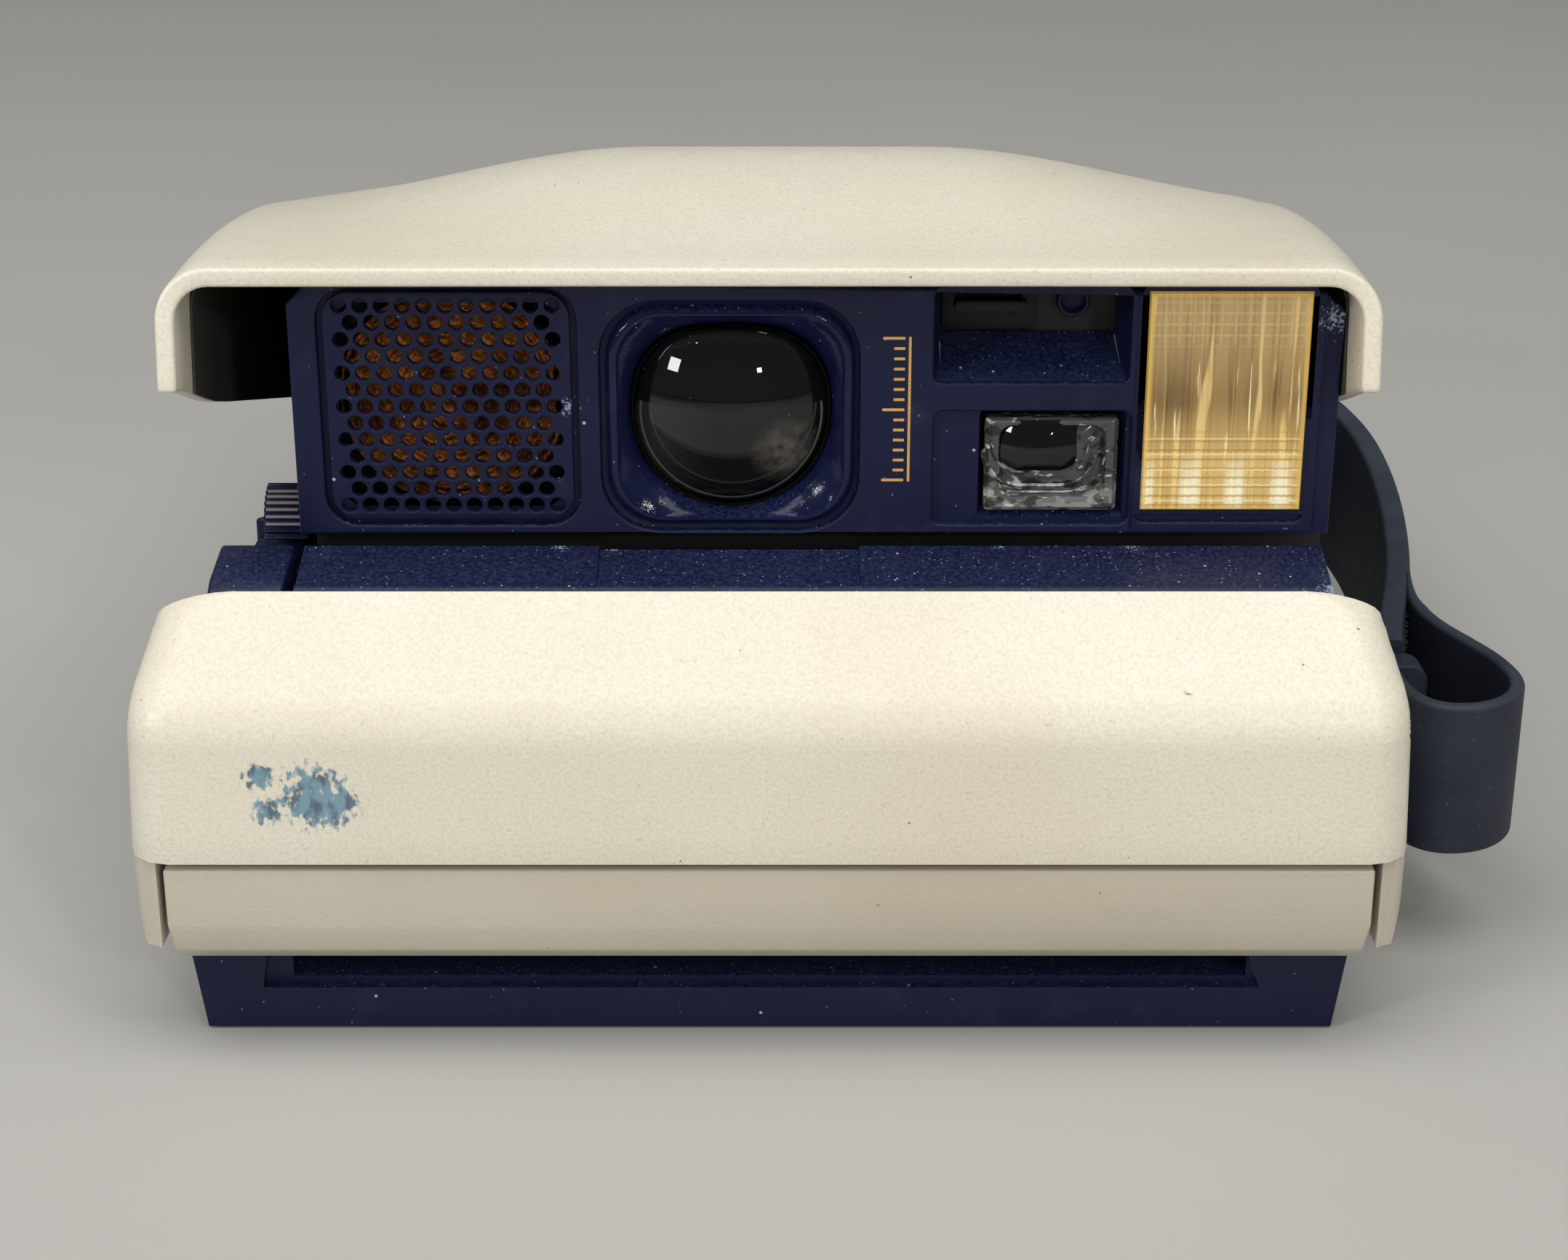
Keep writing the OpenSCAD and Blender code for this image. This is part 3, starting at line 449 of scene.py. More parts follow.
def dark_glass():
    """Front glass before a black barrel, painted opaque: near black, with painted grey arcs for the rings inside,
    a painted lighter lower half and left side, and a painted soft gleam low on the right.
    """
    paint = Paint("front_glass", tone(13, 12, 11), 0.0, Specular_IOR_Level=0.45)
    centre = middle("front_lens")
    across, _, up = paint.axes()

    def away(dx, dz):
        flat = paint.node("ShaderNodeVectorMath", operation="MULTIPLY")
        paint.feed(flat.inputs[0], paint.place)
        flat.inputs[1].default_value = (1, 0, 1)
        return paint.away(((centre.x + dx) * MM, 0, (centre.z + dz) * MM), flat.outputs[0])

    # painted light: the lower half of the glass is drawn lighter, and the arcs show only there
    lower = paint.strip(up, centre.z + 1.6, centre.z + 1.2)
    disc = paint.span(away(0, 0), 9.4 * MM, 9.2 * MM, 0, 0.5)
    paint.lay((26, 25, 23), lower, disc)
    # painted grey arcs that stand for the lit rings inside the barrel
    for dx, dz, radius, width, share, shade in ((0.2, 1.6, 9.7, 0.12, 0.5, 70), (0.6, 2.4, 8.4, 0.5, 0.4, 16),
                                                (0, 0.2, 10.6, 0.1, 0.6, 120)):
        ring = paint.maths("ABSOLUTE", paint.maths("SUBTRACT", away(dx, dz), radius * MM))
        line = paint.times(paint.span(ring, width * MM, 1.6 * width * MM, 1, 0), lower)
        paint.lay((shade, shade, shade * 0.93), line, share)
    # painted gleam: a soft lighter patch low on the right
    painted_gleam = paint.times(paint.span(away(6.6, -4.2), 4.6 * MM, 0, 0, 0.9),
                        paint.cloud(1.2, 3, 0.2, 0.7),
                        paint.span(away(0, 0), 10.4 * MM, 10.1 * MM))
    paint.lay((118, 114, 104), painted_gleam)
    # painted light: lighter towards the left in the lower half
    left = paint.span(across, (centre.x - 9) * MM, (centre.x - 2) * MM, 0.35, 0)
    paint.lay((60, 60, 58), left, lower)
    paint.lay((150, 150, 144), paint.specks(1.3, 0.05, 0.35), 0.7)
    return paint.ready()


def dark_plastic(name, colour, roughness):
    """Black inner mouldings with a dusty bloom."""
    paint = Paint(name, colour, roughness)
    paint.lay((120, 120, 118), paint.specks(1.2, 0.05, 0.4), 0.4)
    paint.rougher(paint.noise(4, 3), roughness - 0.06, roughness + 0.1)
    paint.relief(paint.noise(0.4, 2), 0.02)
    return paint.ready()


def cloth():
    """Black bellows cloth with a fine weave."""
    paint = Paint("bellows_cloth", tone(22, 22, 24), 0.85, Sheen_Weight=0.2)
    waves = []
    for axis in "XZ":
        wave = paint.node("ShaderNodeTexWave", bands_direction=axis)
        wave.inputs["Scale"].default_value = 900
        paint.feed(wave.inputs["Vector"], paint.place)
        waves.append(wave.outputs["Fac"])
    paint.relief(paint.times(*waves), 0.06)
    paint.lay((40, 40, 42), paint.cloud(5, 3, 0.5, 0.8, 0.4))
    return paint.ready()


def board():
    """Green circuit board with pale tracks."""
    paint = Paint("circuit_board", tone(34, 84, 52), 0.35)
    tracks = paint.maths("GREATER_THAN", paint.noise(1.6, 0, (1, 6, 1)), 0.56)
    paint.lay((92, 140, 84), tracks, 0.5)
    paint.relief(tracks, 0.03)
    return paint.ready()


def knob(name, colour, roughness):
    """Small moulded knobs and gears."""
    paint = Paint(name, colour, roughness, Subsurface_Weight=0.05)
    paint.lay((150, 146, 134), paint.cloud(3, 3, 0.4, 0.8, 0.3))
    paint.relief(paint.noise(0.35, 2), 0.015)
    return paint.ready()


def floor_paint():
    paint = Paint("pale_floor", tone(184, 183, 180), 0.75)
    paint.lay((188, 187, 184), paint.cloud(160, 2, 0.3, 0.8))
    return paint.ready()


# Wear, as (x, y, z, radius).
CREASE_MARKS = [(31, -100, 42.8, 3.2), (38, -100, 43.0, 4.0), (46.9, -97, 46.2, 1.6),
                (64.6, -100, 42.2, 1.5), (-68.5, -94, 50.5, 3.0), (-70.6, -97, 44.5, 3.0)]
PRINT_SMEAR = [(-51.5, -100, 34.6, 5.4), (-49.2, -100, 33.6, 4),
               (-57.6, -100, 37, 2.4), (-57, -100, 32.6, 2.4)]
LOWER_MARK = [(-52.7, -100, 16.5, 1.6)]
NAVY_SCUFFS = [(42.8, -76.5, 56, 3.2), (65, -86, 54, 4.6), (-24.6, -76.6, 56.2, 2.6),
               (-18.5, -76.4, 56.2, 2.4), (65.2, -75.6, 83.4, 4.4), (-23.4, -75, 72.7, 2.6),
               (27, -76.5, 56, 2.2)]


def make_paints():
    """Every material, by its slot in the record."""
    return {
        "cream_shell": cream("cream_shell", tone(233, 228, 212), tone(226, 219, 199),
                             CREASE_MARKS, PRINT_SMEAR),
        "cream_lower": cream("cream_lower", tone(196, 190, 174), tone(187, 179, 162), LOWER_MARK),
        "navy_shell": navy("navy_shell", tone(16, 22, 54), tone(20, 27, 60), 0.42, NAVY_SCUFFS),
        "navy_gloss": navy("navy_gloss", tone(16, 20, 54), tone(20, 25, 62), 0.1, (), 0.3),
        "black_plastic": dark_plastic("black_plastic", tone(25, 25, 25), 0.5),
        "strap_rubber": rubber(),
        "bellows_cloth": cloth(),
        "steel": metal("steel", tone(186, 188, 192), 0.3),
        "zinc_plate": metal("zinc_plate", tone(170, 172, 176), 0.4, (1, 8, 1)),
        "brass": metal("brass", tone(196, 164, 98), 0.3, (1, 1, 8)),
        "gold_foil": foil(middle("sonar_transducer")),
        "lens_glass": glass("lens_glass", (0.93, 0.94, 0.93, 1), 1.38),
        "clear_plastic": glass("clear_plastic", (0.93, 0.93, 0.91, 1), 1.49),
        "amber_plastic": amber_window(),
        "reflector": metal("reflector", tone(236, 228, 206), 0.16, (1, 1, 6)),
        "mirror_glass": metal("mirror_glass", tone(206, 214, 216), 0.05, (1, 1, 1)),
        "gear_nylon": knob("gear_nylon", tone(226, 221, 205), 0.42),
        "circuit_board": board(),
        "grey_knob": knob("grey_knob", tone(186, 182, 170), 0.45),
    }


make_camera()
make_lights()
PAINTS = make_paints()
LENS_BLACK = Paint("lens_black", tone(5, 4, 4), 0.6, Specular_IOR_Level=0.08).ready()


# ---------------------------------------------------------------- mesh helpers

WELD = 2e-6

def finish(obj, body, slot, nodes=(), paint=None, sharp=32):
    """Gives a made mesh its material and its body, and hides the CAD nodes that it stands for."""
    mesh = obj.data
    mesh.materials.clear()
    mesh.materials.append(paint or PAINTS[slot])
    mesh.polygons.foreach_set("use_smooth", [True] * len(mesh.polygons))
    mesh.set_sharp_from_angle(angle=math.radians(sharp))
    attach(obj, body)
    if nodes:
        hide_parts(*nodes)
    return obj


def evaluated(obj):
    """A new mesh of what an object's modifiers or curve settings make."""
    graph = bpy.context.evaluated_depsgraph_get()
    return bpy.data.meshes.new_from_object(obj.evaluated_get(graph))


def settle(obj):
    """Turns an object's modifiers into its mesh."""
    mesh = evaluated(obj)
    obj.modifiers.clear()
    obj.data = mesh
    return obj


def cleaned(mesh, weld=True, flatten=False):
    """Welds a mesh's double points, perhaps joins its flat faces, and turns its faces outward."""
    work = bmesh.new()
    work.from_mesh(mesh)
    if weld:
        bmesh.ops.remove_doubles(work, verts=work.verts, dist=WELD)
    if flatten:
        bmesh.ops.dissolve_limit(work, angle_limit=math.radians(1), verts=work.verts, edges=work.edges)
    bmesh.ops.recalc_face_normals(work, faces=work.faces)
    work.to_mesh(mesh)
    work.free()
    return mesh


def built(name, parts, weld=True):
    """An object from one or more (points, faces) in millimetres."""
    points, faces = [], []
    for part_points, part_faces in parts:
        start = len(points)
        points += [Vector(p) * MM for p in part_points]
        faces += [[i + start for i in face] for face in part_faces]
    mesh = bpy.data.meshes.new(name)
    mesh.from_pydata(points, [], faces)
    return placed(name, cleaned(mesh, weld))


def rounded_edges(obj, width, segments=3, angle=35):
    """Rounds an object's sharp edges, by a width in millimetres."""
    bevel = obj.modifiers.new("edges", "BEVEL")
    bevel.width = width * MM
    bevel.segments = segments
    bevel.limit_method = "ANGLE"
    bevel.angle_limit = math.radians(angle)
    return settle(obj)


def thickened(obj, wall, width):
    """Gives a skin a wall inside it and rounds the wall's edges."""
    solid = obj.modifiers.new("wall", "SOLIDIFY")
    solid.thickness = wall * MM
    solid.offset = -1
    solid.use_even_offset = True
    settle(obj)
    return rounded_edges(obj, width, angle=40)


def rounded_copy(node, width, segments=3):
    """A copy of a CAD node with rounded edges."""
    mesh = cleaned(frame["nodes"][node].data.copy(), flatten=True)
    return rounded_edges(placed(node + "_body", mesh), width, segments, 32)


def loft(rings, closed=True, cap_first=False, cap_last=False):
    """Skin over rings of equal length."""
    count = len(rings[0])
    points = [p for ring in rings for p in ring]
    faces = []
    steps = count if closed else count - 1
    for r in range(len(rings) - 1):
        for i in range(steps):
            j = (i + 1) % count
            faces.append((r * count + i, r * count + j, (r + 1) * count + j, (r + 1) * count + i))
    if cap_first:
        faces.append(list(range(count)))
    if cap_last:
        faces.append([len(points) - 1 - i for i in range(count)])
    return points, faces


def solid(rings):
    """Skin over rings, with both ends closed."""
    return loft(rings, True, True, True)


def prism(outline, low, high, axis):
    """Solid from an outline along X, Y or Z, its outline in the other two axes in order."""
    def put(point, along):
        a, b = point
        return {"x": (along, a, b), "y": (a, along, b), "z": (a, b, along)}[axis]
    return solid([[put(p, end) for p in outline] for end in (low, high)])


def arc(cx, cy, radius, start, end, steps):
    """Points on an arc, its angles in degrees."""
    angles = [math.radians(start + (end - start) * i / steps) for i in range(steps + 1)]
    return [(cx + radius * math.cos(a), cy + radius * math.sin(a)) for a in angles]


def round_rect(x0, x1, z0, z1, radius, steps=6):
    """Outline of a rectangle with round corners."""
    left, right, low, high = x0 + radius, x1 - radius, z0 + radius, z1 - radius
    points = []
    for quarter, (x, z) in enumerate(((right, high), (left, high), (left, low), (right, low))):
        points += arc(x, z, radius, 90 * quarter, 90 * (quarter + 1), steps)
    return points


def circle(cx, cz, radius, steps=24):
    return arc(cx, cz, radius, 0, 360 - 360 / steps, steps - 1)


def at_y(outline, y):
    """An outline in X and Z placed at one Y."""
    return [(x, y, z) for x, z in outline]


def plate(outline, holes, y0, y1, bevel):
    """Flat plate across Y with holes, its edges rounded."""
    curve = bpy.data.curves.new("plate", "CURVE")
    curve.dimensions = "2D"
    curve.fill_mode = "BOTH"
    curve.extrude = ((y1 - y0) / 2 - bevel) * MM
    curve.bevel_depth = bevel * MM
    curve.bevel_resolution = 2
    curve.offset = -bevel * MM
    for loop in [outline] + holes:
        spline = curve.splines.new("POLY")
        spline.points.add(len(loop) - 1)
        for point, (x, z) in zip(spline.points, loop):
            point.co = (x * MM, z * MM, 0, 1)
        spline.use_cyclic_u = True
    maker = placed("plate", curve)
    mesh = evaluated(maker)
    bpy.data.objects.remove(maker)
    mesh.transform(Matrix.Translation((0, (y0 + y1) / 2 * MM, 0)) @ Matrix.Rotation(math.pi / 2, 4, "X"))
    points = [v.co / MM for v in mesh.vertices]
    faces = [list(p.vertices) for p in mesh.polygons]
    bpy.data.meshes.remove(mesh)
    return points, faces


def lathe_y(cx, cz, profile, steps=64):
    """Turned skin about an axis along Y, from (radius, y) pairs."""
    return loft([at_y(circle(cx, cz, radius, steps), y) for radius, y in profile])


def ease(t):
    """Smooth step from 0 to 1."""
    t = min(max(t, 0), 1)
    return t * t * (3 - 2 * t)


def mixed(a, b, t):
    return a + (b - a) * t


# ---------------------------------------------------------------- top cover

COVER_Y0, COVER_Y1 = -85.5, 101.6
COVER_WALL = 2.2
COVER_CORNER = 6.0
PART_Z0, PART_Z1, PART_Y0 = 42.9, 33.9, -83.2
CREST_RUN = 46
RIM_TOP, CREST_RISE, REAR_FALL = 58.4, 4.9, 0.026
RIM_CUT = 1.6


def side_top(y):
    """Height of the folded cover's sides at a station: up to a crest, then slowly down."""
    run = y - COVER_Y0
    climb = 1 - (1 - min(max(run / CREST_RUN, 0), 1)) ** 2
    return RIM_TOP + CREST_RISE * climb - REAR_FALL * max(run - CREST_RUN, 0)


def hump(x, y):
    """Height of the centre over the sides."""
    rise = 7 * ease((y - COVER_Y0) / 45) - 1.6 * ease((y + 40) / 130)
    return rise * (1 - ease((abs(x - 2) - 18) / 50))


def skirt_z(y):
    """Lower edge of the skirts, cut up a little at the rim."""
    share = min(max((y - PART_Y0) / -PART_Y0, 0), 1)
    return RIM_CUT * (1 - ease((y - COVER_Y0) / 24)) + PART_Z0 + (PART_Z1 - PART_Z0) * share


def half_width(y):
    return 69 - 0.012 * (y - COVER_Y0) - 3 * ease((y - 80) / 24)


def cover_arch(y, inset=0):
    """The cover's face across the body, from one lower edge to the other, inset from the outer one."""
    width, radius = half_width(y) - inset, COVER_CORNER - 0.8 * inset
    top = side_top(y) - 3.4 * max((y - 84) / 16, 0) ** 2 - inset
    side = [(width, mixed(skirt_z(y), top - radius, i / 5)) for i in range(5)]
    corner = arc(width - radius, top - radius, radius, 0, 90, 10)
    over = [mixed(width - radius, radius - width, i / 44) for i in range(1, 44)]
    across = [(x, top + hump(x, y)) for x in over]
    return side + corner + across + [(-x, z) for x, z in reversed(side + corner)]


def opened(point):
    """Carries a point of the folded upper unit to where it stands open."""
    joint = JOINTS["cover_fold"]
    pivot = Vector(joint["pos_m"]) / MM
    turn = Matrix.Rotation(-math.radians(joint["range_deg"][1]), 3, "X")
    return pivot + turn @ (Vector(point) - pivot)


def top_cover():
    stations = [COVER_Y0 + 4.5 * i for i in range(38)] + [84, 87.5, 91, 94, 97, 99.5, COVER_Y1]
    rings = [[opened((x, y, z)) for x, z in cover_arch(y)] for y in stations]
    cover = thickened(built("top_cover_shell", [loft(rings, closed=False)]), COVER_WALL, 0.5)
    return finish(cover, "upper_unit", "cream_shell", ["top_cover"])


def cover_shade_liner():
    """Black liner just inside the cover, set back from its rim: partly the dark inner parts, partly a dark sheet
    that stands for the shade inside the cover.
    """
    rings = []
    for y in [-77 + 6 * i for i in range(29)] + [96]:
        band = cover_arch(y, COVER_WALL + 0.1) + cover_arch(y, COVER_WALL + 0.35)[::-1]
        rings.append([opened((x, y, z)) for x, z in band])
    # dark grey sheet: partly the inner parts' own colour, partly standing for the shade inside the cover
    shade = Paint("liner_and_shade_black", tone(66, 66, 62), 0.7, Specular_IOR_Level=0.2).ready()
    finish(built("cover_shade_liner", [solid(rings)]), "upper_unit", "black_plastic", paint=shade)


def inner_walls():
    """Black walls inside the housing, which close the view into the body when it is open."""
    low, high = low_high("lower_housing")
    foot, rear = [(-66, 31)], [(40, 55), (84, 40), (84, 31)]
    left = foot + [(-34, 33), (-14, 54)] + rear
    right = foot + [(-66, 54), (-63, 55)] + rear
    parts = []
    for outline, wall, flange in ((left, low.x + 5.2, low.x + 2.4), (right, high.x - 5.9, high.x - 5.2)):
        parts.append(prism(outline, wall, wall + 0.7, "x"))
        parts.append(prism([(-66, 31), (-66, 31.6), (84, 31.6), (84, 31)], flange, flange + 2.8, "x"))
    finish(rounded_edges(built("inner_walls", parts), 0.15, 2), "lower_body", "black_plastic")


# ---------------------------------------------------------------- front cover and its neighbours

FRONT_Y = low_high("front_cover")[0].y
FRONT_LEVELS = [(26.0, 73.7, FRONT_Y), (43.5, 72.9, FRONT_Y), (55.0, 69.4, FRONT_Y + 11.5)]
FRONT_CORNER = 5.0
CREASE_REACH = 3.4
LIP_RADIUS = 4.2


def front_profile():
    """Levels up the front cover: (height, half width, front), with a round crease."""
    low, crease, top = [Vector(level) for level in FRONT_LEVELS]
    before = crease + (low - crease).normalized() * CREASE_REACH
    after = crease + (top - crease).normalized() * CREASE_REACH
    rise = [low.lerp(before, i / 4) for i in range(4)]
    bend = [before * (1 - t) ** 2 + crease * 2 * t * (1 - t) + after * t * t
            for t in [i / 10 for i in range(11)]]
    slope, radius = [], LIP_RADIUS
    length = (top - after).length
    for share in (0.25, 0.5, 0.68, 0.76, 0.83, 0.89, 0.94, 0.98, 1):
        level = after.lerp(top, share)
        near = max(radius - (1 - share) * length, 0)
        level.y -= radius - math.sqrt(radius * radius - near * near)
        slope.append(level)
    return rise + bend + slope


def side_end(z):
    """How far back the front cover's sides reach at a height."""
    return mixed(-62, -86.8, min(max((z - 39.4) / 3.1, 0), 1)) - 1.6 * ease((z - 49) / 6)


def resampled(points, count):
    """Points at even steps along a line."""
    points = [Vector(p) for p in points]
    runs = [0]
    for a, b in zip(points, points[1:]):
        runs.append(runs[-1] + (b - a).length)
    result, k = [], 0
    for i in range(count):
        goal = runs[-1] * i / (count - 1)
        while k < len(points) - 2 and runs[k + 1] < goal:
            k += 1
        result.append(points[k].lerp(points[k + 1], (goal - runs[k]) / max(runs[k + 1] - runs[k], 1e-9)))
    return result


def front_ring(z, half, front):
    """The front cover in plan, from the right side's end round to the left's."""
    end, radius = side_end(z), FRONT_CORNER
    side = [(half, -60), (half, front + radius)] + arc(half - radius, front + radius, radius, 0, -90, 40)
    kept = [Vector(p) for p in side if p[1] <= end]
    first = side[len(side) - len(kept) - 1]
    share = (end - first[1]) / (kept[0].y - first[1])
    side = resampled([Vector(first).lerp(kept[0], share)] + kept, 18)
    across = [Vector((mixed(half - radius, radius - half, i / 24), front)) for i in range(1, 24)]
    ring = side + across + [Vector((-p.x, p.y)) for p in reversed(side)]
    return [(p.x, p.y, z) for p in ring]


def front_cover():
    rings = [front_ring(*level) for level in front_profile()]
    shell = thickened(built("front_cover_shell", [loft(rings, closed=False)]), 2.2, 0.7)
    return finish(shell, "lower_body", "cream_shell", ["front_cover"])


def shape_cheek(cheek, foot):
    """Blunts a cheek's foot and moves its outer face out to the front cover's."""
    outer, widening = 71.5 * MM, 0.65 * MM
    for vertex in cheek.data.vertices:
        vertex.co.z = max(vertex.co.z, foot * MM)
        if abs(vertex.co.x) > outer:
            vertex.co.x += math.copysign(widening, vertex.co.x)


def soft_copies():
    """Copies of CAD parts with rounded edges; only the cheeks change shape a little."""
    table = [
        ("left_cheek", 0.5, "cream_lower"), ("right_cheek", 0.5, "cream_lower"),
        ("lower_housing", 0.5, "navy_shell"), ("shoulder_block", 0.5, "navy_shell"),
        ("front_flap", 0.25, "navy_shell"), ("door_lip", 0.4, "navy_shell"),
        ("strap_lug", 0.6, "strap_rubber"), ("strap_rear_anchor", 0.7, "strap_rubber"),
        ("rear_panel", 0.3, "navy_shell"), ("door_latch", 0.25, "navy_shell"),
        ("close_latch", 0.3, "navy_shell"), ("timer_button", 0.3, "grey_knob"),
        ("flash_switch", 0.3, "grey_knob"), ("focus_switch", 0.3, "grey_knob"),
        ("exposure_switch", 0.3, "grey_knob"), ("cover_strut", 0.12, "zinc_plate"),
    ]
    bodies = {node: body for body, nodes in frame["record"]["behaviour"]["bodies"].items() for node in nodes}
    for node, width, slot in table:
        copy = rounded_copy(node, width)
        if node.endswith("_cheek"):
            shape_cheek(copy, low_high(node)[0].z + 2.2)
        finish(copy, bodies[node], slot, [node])


def door_face():
    """Film door: a soft upper edge, and a dark gap above and at each end."""
    low, high = low_high("door_face")
    door = rounded_copy("door_face", 1.2, 4)
    rim, top_gap, end_gap = 2, 0.55 * MM, 0.5 * MM
    for vertex in door.data.vertices:
        x, _, z = vertex.co / MM
        if z > high.z - rim:
            vertex.co.z -= top_gap
        if x < low.x + rim:
            vertex.co.x += end_gap
        if x > high.x - rim:
            vertex.co.x -= end_gap
    finish(door, "film_door", "cream_lower", ["door_face"])


# ---------------------------------------------------------------- lens unit

PANEL_LOW, PANEL_HIGH = low_high("lens_panel")
PANEL_Y = PANEL_LOW.y
FACE_Y = PANEL_Y + 0.05
LENS_LOW, LENS_HIGH = low_high("front_lens")
LENS = middle("front_lens")
LENS_R = (LENS_HIGH.x - LENS_LOW.x) / 2
LENS_DOME = 17.0
LENS_STEPS = 72
GRILLE_LOW, GRILLE_HIGH = low_high("sonar_grille")
GRILLE = middle("sonar_grille")
FINDER_LOW, FINDER_HIGH = low_high("finder_lens")
FLASH_LOW, FLASH_HIGH = low_high("flash_lens")

GRILLE_RECESS = (GRILLE_LOW.x - 0.8, GRILLE_HIGH.x + 0.8, GRILLE_LOW.z - 0.9, GRILLE_HIGH.z + 0.5, 3.8)
LENS_RECESS = (LENS.x - 15.2, LENS.x + 15, LENS.z - 14, LENS.z + 14, 6.6)
SENSOR_RECESS = (19, 41.7, 75.6, 86.8, 1.0)
FINDER_RECESS = (19.1, 42.2, 58.2, 72.2, 1.2)
FLASH_RECESS = (FLASH_LOW.x - 0.5, FLASH_HIGH.x + 0.4, FLASH_LOW.z - 1.7, FLASH_HIGH.z + 0.5, 1.0)
RECESSES = [GRILLE_RECESS, LENS_RECESS, SENSOR_RECESS, FINDER_RECESS, FLASH_RECESS]


def step_rings(steps):
    """Round rectangles across Y, each from (x0, x1, z0, z1, radius, y)."""
    return [at_y(round_rect(*step[:5]), step[5]) for step in steps]


def shrunk(box, left, right, low, high, y, radius=None):
    """A step inside a box (x0, x1, z0, z1, radius), at a place along Y."""
    x0, x1, z0, z1, r = box
    return (x0 + left, x1 - right, z0 + low, z1 - high, r if radius is None else radius, y)


def recess(box, *steps):
    """Walls going back from an opening, by steps of (left, right, low, high, depth, radius)."""
    inner = [shrunk(box, *step[:4], FACE_Y + step[4], *step[5:]) for step in steps]
    return loft(step_rings([(*box, FACE_Y + 0.4)] + inner))


def lens_panel():
    """Face plate with its five recesses, and two thin ribs."""
    x0, x1, z0, z1 = PANEL_LOW.x, PANEL_HIGH.x, PANEL_LOW.z, PANEL_HIGH.z
    outline = [(x0, z0), (x1 - 0.2, z0), (x1, 84), (x1 - 2.4, 86.4), (x1 - 5, z1 - 2), (x0 + 3, z1),
               (x0, z1 - 3)]
    holes = [round_rect(*box) for box in RECESSES]
    parts = [plate(outline, holes, PANEL_Y, PANEL_Y + 1.6, 0.28),
             recess(GRILLE_RECESS, (0, 0, 0, 0, 1.2), (2, 2, 2, 2, 1.2, 2.5)),
             recess(LENS_RECESS, (0.1, 0.1, 0.1, 0.1, 1.0), (0.6, 0.6, 0.6, 0.6, 1.2, 6.2),
                    (1.5, 1.5, 1.2, 1.2, 1.2, 5.8)),
             recess(SENSOR_RECESS, (0, 0, 0, 0, 0.9), (0.7, 0.7, 1.4, 0, 2.6, 0.6),
                    (0.9, 0.9, 3.6, 0, 9.35, 0.4)),
             recess(FINDER_RECESS, (0, 0, 0, 0, 1.0), (5.4, 0.5, 0.6, 0.2, 1.0, 0.6),
                    (5.8, 1.2, 1.4, 0.6, 2.4, 0.4), (5.8, 1.2, 1.4, 0.6, 6.55, 0.4)),
             recess(FLASH_RECESS, (0, 0, 0, 0, 0.7), (0.2, 0.3, 1.5, 0.3, 0.8, 0.5),
                    (0.2, 0.3, 1.5, 0.3, 2.35, 0.5))]
    finish(built("lens_panel_face", parts), "upper_unit", "navy_shell", ["lens_panel"])
    ribs = [prism(round_rect(x - 0.14, x + 0.14, z0 + 0.8, z1 - 2, 0.13, 3),
                  PANEL_Y - 0.16, PANEL_Y + 0.3, "y") for x in (42.55, 64.2)]
    finish(rounded_edges(built("panel_ribs", ribs), 0.08, 2), "upper_unit", "navy_shell")


def corner_glints():
    """Pale painted highlights along the lower corner edges of the sensor and finder recesses."""
    x0, x1, z0 = SENSOR_RECESS[:3]
    runs = [((x0 + 0.8, FACE_Y + 2.6, z0 + 1.5), (x0 + 1.0, PANEL_Y + 7.0, z0 + 2.9)),
            ((x1 - 0.8, FACE_Y + 2.6, z0 + 1.5), (x1 - 1.0, PANEL_Y + 8.4, z0 + 3.4))]
    x0, x1, z0 = FINDER_RECESS[:3]
    runs += [((x0 + 5.3, FACE_Y + 1.0, z0 + 0.6), (x0 + 5.8, FACE_Y + 2.4, z0 + 1.5)),
             ((x1 - 0.5, FACE_Y + 1.0, z0 + 0.6), (x1 - 1.2, FACE_Y + 2.4, z0 + 1.5))]
    parts = []
    for a, b in runs:
        corners = [Vector((x, 0, z)) * 0.09 for x, z in ((1, 1), (1, -1), (-1, -1), (-1, 1))]
        parts.append(solid([[tuple(Vector(end) + c) for c in corners] for end in (a, b)]))
    # pale colour: painted highlight on the recess edges
    paint = Paint("painted_edge_glint", tone(150, 156, 176), 0.3).ready()
    finish(built("recess_glints", parts), "upper_unit", "navy_shell", paint=paint)


def panel_backs():
    """Dark boxes behind the openings."""
    parts = []
    for box, start, end in ((GRILLE_RECESS, 1.3, 9.6), (SENSOR_RECESS, 9.0, 9.7)):
        steps = [shrunk(box, 0.6, 0.6, 0.6, 0.4, PANEL_Y + depth, 2) for depth in (start, end)]
        parts.append(loft(step_rings(steps), cap_last=True))
    finish(built("panel_backs", parts), "upper_unit", "black_plastic")


def panel_foot():
    """Black strip that closes the gap between the lens panel and the flap: a dark sheet that stands for the shade
    in that gap.
    """
    strip = prism([(PANEL_Y + 2.6, 54.2), (PANEL_Y + 2.6, 58), (PANEL_Y + 3, 58), (PANEL_Y + 3, 54.2)],
                  PANEL_LOW.x + 1.5, PANEL_HIGH.x - 0.6, "x")
    finish(rounded_edges(built("panel_foot", [strip]), 0.1, 2), "upper_unit", "black_plastic")


def grille_holes():
    """Centres of the grille's holes: rows of 11 and 10 in turn."""
    pitch, row_step = 2.45, 2.02
    for row in range(-6, 7):
        count = 11 if row % 2 == 0 else 10
        for k in range(count):
            yield GRILLE.x + (k - (count - 1) / 2) * pitch, GRILLE.z + row * row_step


def sonar_grille():
    outline = round_rect(GRILLE_LOW.x, GRILLE_HIGH.x, GRILLE_LOW.z - 0.2, GRILLE_HIGH.z, 3.1, 8)
    holes = [circle(x, z, 0.92, 14) for x, z in grille_holes()]
    parts = [plate(outline, holes, PANEL_Y + 0.12, PANEL_Y + 1.3, 0.12)]
    finish(built("sonar_grille_plate", parts), "upper_unit", "navy_shell", ["sonar_grille"])


